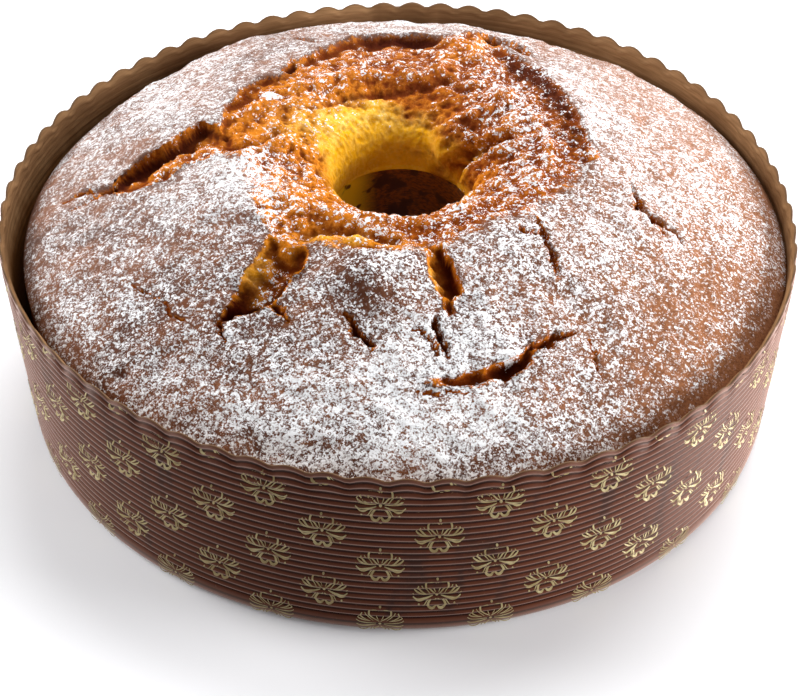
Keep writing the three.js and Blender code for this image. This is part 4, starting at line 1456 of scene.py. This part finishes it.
class CakeSizes(PropertyGroup):
    crest_radius: length("Crest radius", "Radius of the highest ring of the dome", 0.040)
    crest_height: length("Crest height", "Crest above the rim of the case", 0.018)
    lip_radius: length("Throat radius", "Narrowest radius of the hole", 0.019)
    lip_height: length("Throat height", "Throat above the rim of the case", 0.004)
    dome_power: number("Dome fall", "How the dome falls from crest to edge", 1.6)
    tear_scale: number("Tear depth", "Share of the usual drop at the torn edge", 1.0)


class CaseSizes(PropertyGroup):
    rim_radius: length("Rim radius", "Outside of the wall at its edge", 0.110)
    foot_radius: length("Foot radius", "Outside of the wall at its foot", 0.1075)
    height: length("Wall height", "Mean height of the scalloped edge", 0.0565)
    thick: length("Wall thickness", "Paper over its pleats", 0.0012)
    out_of_round: length("Out of round", "Three-lobed wander of the rim", 0.0011)
    scallops: count("Scallops", "Scallops round the rim", 73)
    scallop_rise: length("Scallop rise", "Half the depth of a scallop", 0.0009)
    pleats: count("Pleats", "Level corrugations up the wall", 22)
    pleat_rise: length("Pleat rise", "Half the depth of a corrugation", 0.00035)
    pleat_start: length("Pleat start", "Height of the lowest corrugation", 0.0068)
    pleat_end: length("Pleat end", "Height of the highest corrugation", 0.0556)
    foot_tab: length("Foot tab", "Paper turned in at the foot", 0.007)
    base_thick: length("Disc thickness", "Paper disc under the cake", 0.0009)
    core_foot: length("Tube foot", "Outside of the paper tube at its foot", 0.0224)
    core_top: length("Tube top", "Outside of the paper tube at its upper edge", 0.0208)
    core_height: length("Tube height", "Height of the paper tube", 0.0555)
    core_thick: length("Tube thickness", "Paper of the tube", 0.001)
    print_columns: count("Print columns", "Columns of flowers round the wall", 48)
    print_drop: length("Print drop", "Flower to flower down a column", 0.022)
    print_top: length("Print top", "Height of the highest whole row of flowers", 0.0478)


class CakeLook(PropertyGroup):
    crust: colour("Crust", "Baked crust", (0.185, 0.06, 0.021))
    # Dark crust, also used for painted shade where crust slopes face away from the light
    crust_dark: colour("Dark crust", "Crust where it browned most", (0.062, 0.016, 0.0055))
    # Pale crust, also used for painted light toward the right
    crust_pale: colour("Pale crust", "Crust where it browned least", (0.34, 0.135, 0.055))
    crumb: colour("Crumb", "Torn crumb", (0.58, 0.175, 0.007))
    crumb_brown: colour("Browned crumb", "Torn crumb that has browned", (0.25, 0.052, 0.004))
    # Dark specks of crumb, and painted shade in its creases
    crumb_dark: colour("Crumb creases", "Creases of the torn crumb", (0.12, 0.018, 0.002))
    crumb_pale: colour("Pale crumb", "High points of torn crumb", (0.74, 0.34, 0.07))
    yellow: colour("Yellow crumb", "Moist crumb in the throat", (0.82, 0.4, 0.003))
    yellow_pale: colour("Pale yellow crumb", "Moist crumb where it catches light", (0.9, 0.62, 0.17))
    # Painted shade: moist crumb low in the throat beside the tube
    olive: colour("Olive crumb", "Moist crumb beside the tube", (0.78, 0.37, 0.003))
    # Colour of the painted shade in cracks, pockets and pits
    deep: colour("Crack depth", "Crumb deep in a crack", (0.045, 0.005, 0.001))
    burnt: colour("Burnt crust", "Burnt crest", (0.066, 0.0115, 0.003))
    sugar: colour("Sugar", "Powdered sugar", (0.82, 0.826, 0.846))
    sugar_shade: colour("Sugar shade", "Sugar where it is thin", (0.78, 0.77, 0.78))
    veil: colour("Sugar veil", "Thin film of sugar on crust", (0.6, 0.46, 0.41))


class CaseLook(PropertyGroup):
    paper: colour("Paper", "Printed brown face", (0.088, 0.025, 0.0115))
    # Painted shade in the furrows of the printed face
    paper_dark: colour("Dark paper", "Printed face in its furrows", (0.009, 0.0014, 0.0006))
    paper_pale: colour("Pale paper", "Rubbed places of the printed face", (0.13, 0.055, 0.036))
    # Painted sheen of the printed face seen aslant
    paper_gloss: colour("Paper gloss", "Printed face seen aslant", (0.42, 0.27, 0.22))
    grease: colour("Grease", "Grease showing through", (0.022, 0.010, 0.008))
    kraft: colour("Kraft", "Bare inside of the paper", (0.38, 0.215, 0.1))
    kraft_dark: colour("Dark kraft", "Strands of the bare paper", (0.15, 0.07, 0.028))
    kraft_greased: colour("Greased kraft", "Bare paper soaked by the cake", (0.12, 0.042, 0.009))
    cut_edge: colour("Cut edge", "Cut edge of the rim", (0.13, 0.075, 0.04))
    tube: colour("Tube", "Paper tube in the hole", (0.3, 0.078, 0.001))
    tube_dark: colour("Dark tube", "Grease spots on the tube", (0.05, 0.008, 0.001))
    tube_lit: colour("Lit tube", "Side of the tube under the yellow crumb", (0.95, 0.6, 0.008))
    gold: colour("Gold", "Printed flowers", (0.26, 0.19, 0.075))
    gold_pale: colour("Pale gold", "Printed flowers where thick", (0.38, 0.31, 0.15))


class StageSet(PropertyGroup):
    floor: colour("Floor", "Pale floor", (0.86, 0.86, 0.88))
    key: number("Key", "Large light above and behind", 24.0, unit="POWER")
    right: number("Right", "Panel on the right", 35.0, unit="POWER")
    left: number("Left", "Panel on the left", 17.0, unit="POWER")
    table: number("Table", "Light coming up through the floor", 0.06)
    sky: number("Surroundings", "Strength of the white surroundings", 0.33)


class RingCakeSettings(PropertyGroup):
    cake: PointerProperty(type=CakeSizes)
    case: PointerProperty(type=CaseSizes)
    cake_look: PointerProperty(type=CakeLook)
    case_look: PointerProperty(type=CaseLook)
    stage: PointerProperty(type=StageSet)


# Operators


class BakeCake(Operator):
    """Makes the cake with its torn and cracked crust"""

    bl_idname = "ring_cake.bake_cake"
    bl_label = "Bake cake"

    def execute(self, context):
        s = context.scene.ring_cake
        piece("baked_cake", cake_mesh(s.cake, s.case), "ring_cake", cake_finish(s.cake_look))
        return {"FINISHED"}


class DustSugar(Operator):
    """Scatters sugar over the crust, one mesh for each size of grain"""

    bl_idname = "ring_cake.dust_sugar"
    bl_label = "Dust with sugar"

    def execute(self, context):
        s = context.scene.ring_cake
        crust = bpy.data.objects["baked_cake"].data
        white = sugar_finish(s.cake_look)
        for kind in SUGARS:
            mesh = dust(kind, crust, white)
            triangles = sum(len(face.vertices) - 2 for face in mesh.polygons)
            if triangles >= MOST_TRIANGLES:
                raise RuntimeError(f"{kind.name} has {triangles} triangles")
            piece(kind.name, mesh, "ring_cake")
        return {"FINISHED"}


class FoldWall(Operator):
    """Makes the pleated, scalloped wall of the case"""

    bl_idname = "ring_cake.fold_wall"
    bl_label = "Fold case wall"

    def execute(self, context):
        s = context.scene.ring_cake
        piece("pleated_wall", fold_wall(s.case, s.case_look), "case_wall")
        return {"FINISHED"}


class PrintCase(Operator):
    """Prints the flowers on the wall"""

    bl_idname = "ring_cake.print_case"
    bl_label = "Print case"

    def execute(self, context):
        s = context.scene.ring_cake
        piece("printed_flowers", print_case(s.case, s.case_look), "case_wall")
        return {"FINISHED"}


class RollTube(Operator):
    """Makes the paper tube through the hole and the disc under the cake"""

    bl_idname = "ring_cake.roll_tube"
    bl_label = "Roll tube and cut disc"

    def execute(self, context):
        s = context.scene.ring_cake
        piece("paper_tube", tube_mesh(s.case), "case_core", tube_finish(s.case_look))
        piece("paper_disc", disc_mesh(s.case), "case_base", disc_finish(s.case_look))
        return {"FINISHED"}


# Lamps: name, which is that of the setting with its power, place and size in metres; and where they point
LAMPS = (
    ("key", (0.28, 0.8, 1.05), 1.3),
    ("right", (1.2, -0.12, 0.17), 0.7),
    ("left", (-1.1, 0.35, 0.5), 0.8),
)
LAMP_AIM = (0, 0, 0.04)
# The camera: place in metres, tilt down and roll in degrees, film width and lens in millimetres
CAMERA_PLACE = (0, -0.4083, 0.35324)
CAMERA_TILT, CAMERA_ROLL = 40.6, 0.9
FILM_WIDTH, LENS = 36.0, 81.1
# Half the floor's side in metres, and the tint of the light that comes up through it
FLOOR_HALF = 4
FLOOR_GLOW = (1.0, 1.0, 1.06, 1.0)


def lay_floor(scene, stage):
    floor = bpy.data.meshes.new("floor")
    corners = ((-1, -1), (1, -1), (1, 1), (-1, 1))
    floor.from_pydata([(x * FLOOR_HALF, y * FLOOR_HALF, 0) for x, y in corners], [], [(0, 1, 2, 3)])
    f = Finish("pale floor", stage.floor)
    tone = f.noise(220, 2)
    paler = tuple(min(1.0, v + 0.02) for v in stage.floor)
    glow = {"Emission Color": FLOOR_GLOW, "Emission Strength": stage.table}
    floor.materials.append(f.done(f.mix(tone, tuple(stage.floor), paler), 0.55 + 0.1 * tone, **glow))
    ground = bpy.data.objects.new("floor", floor)
    scene.collection.objects.link(ground)


def hang_lamps(scene, stage):
    for name, place, size in LAMPS:
        lamp = bpy.data.lights.new(name, "AREA")
        lamp.shape, lamp.size, lamp.energy = "DISK", size, getattr(stage, name)
        made = bpy.data.objects.new(name, lamp)
        aim = Vector(LAMP_AIM) - Vector(place)
        made.matrix_world = Matrix.Translation(place) @ aim.to_track_quat("-Z", "Y").to_matrix().to_4x4()
        scene.collection.objects.link(made)
    world = bpy.data.worlds.new("white room")
    world.use_nodes = True
    sky = world.node_tree.nodes["Background"]
    sky.inputs["Color"].default_value = (1.0, 1.0, 1.0, 1.0)
    sky.inputs["Strength"].default_value = stage.sky
    scene.world = world


def place_camera(scene):
    tilt, roll = math.radians(CAMERA_TILT), math.radians(CAMERA_ROLL)
    ahead = Vector((0, math.cos(tilt), -math.sin(tilt)))
    across = Vector((1, 0, 0))
    above = across.cross(ahead)
    right = math.cos(roll) * across + math.sin(roll) * above
    upward = math.cos(roll) * above - math.sin(roll) * across
    turn = Matrix((right, upward, -ahead)).transposed()
    lens = bpy.data.cameras.new("camera")
    lens.sensor_fit, lens.sensor_width, lens.lens = "HORIZONTAL", FILM_WIDTH, LENS
    lens.clip_start = 0.01
    camera = bpy.data.objects.new("camera", lens)
    camera.matrix_world = Matrix.Translation(CAMERA_PLACE) @ turn.to_4x4()
    scene.collection.objects.link(camera)
    scene.camera = camera
    scene.view_settings.view_transform = "Standard"


class SetStage(Operator):
    """Puts up the floor, the lights and the camera"""

    bl_idname = "ring_cake.set_stage"
    bl_label = "Set stage"

    def execute(self, context):
        scene, stage = context.scene, context.scene.ring_cake.stage
        lay_floor(scene, stage)
        hang_lamps(scene, stage)
        place_camera(scene)
        return {"FINISHED"}


class RingCakePanel(Panel):
    """Lists the steps and sizes of the ring cake"""

    bl_idname = "VIEW3D_PT_ring_cake"
    bl_label = "Ring cake"
    bl_space_type = "VIEW_3D"
    bl_region_type = "UI"
    bl_category = "Ring cake"

    def draw(self, context):
        s = context.scene.ring_cake
        for step in STEPS:
            self.layout.operator(step.bl_idname)
        for group in (s.cake, s.case, s.cake_look, s.case_look, s.stage):
            box = self.layout.box()
            for key in group.bl_rna.properties.keys():
                if key not in {"rna_type", "name"}:
                    box.prop(group, key)


STEPS = (BakeCake, DustSugar, FoldWall, PrintCase, RollTube, SetStage)
CLASSES = (CakeSizes, CaseSizes, CakeLook, CaseLook, StageSet, RingCakeSettings, *STEPS, RingCakePanel)


def register():
    for made in CLASSES:
        bpy.utils.register_class(made)
    bpy.types.Scene.ring_cake = PointerProperty(type=RingCakeSettings)


def unregister():
    del bpy.types.Scene.ring_cake
    for made in reversed(CLASSES):
        bpy.utils.unregister_class(made)


def main():
    register()
    bpy.ops.ring_cake.bake_cake()
    bpy.ops.ring_cake.dust_sugar()
    bpy.ops.ring_cake.fold_wall()
    bpy.ops.ring_cake.print_case()
    bpy.ops.ring_cake.roll_tube()
    bpy.ops.ring_cake.set_stage()


if __name__ == "__main__":
    main()
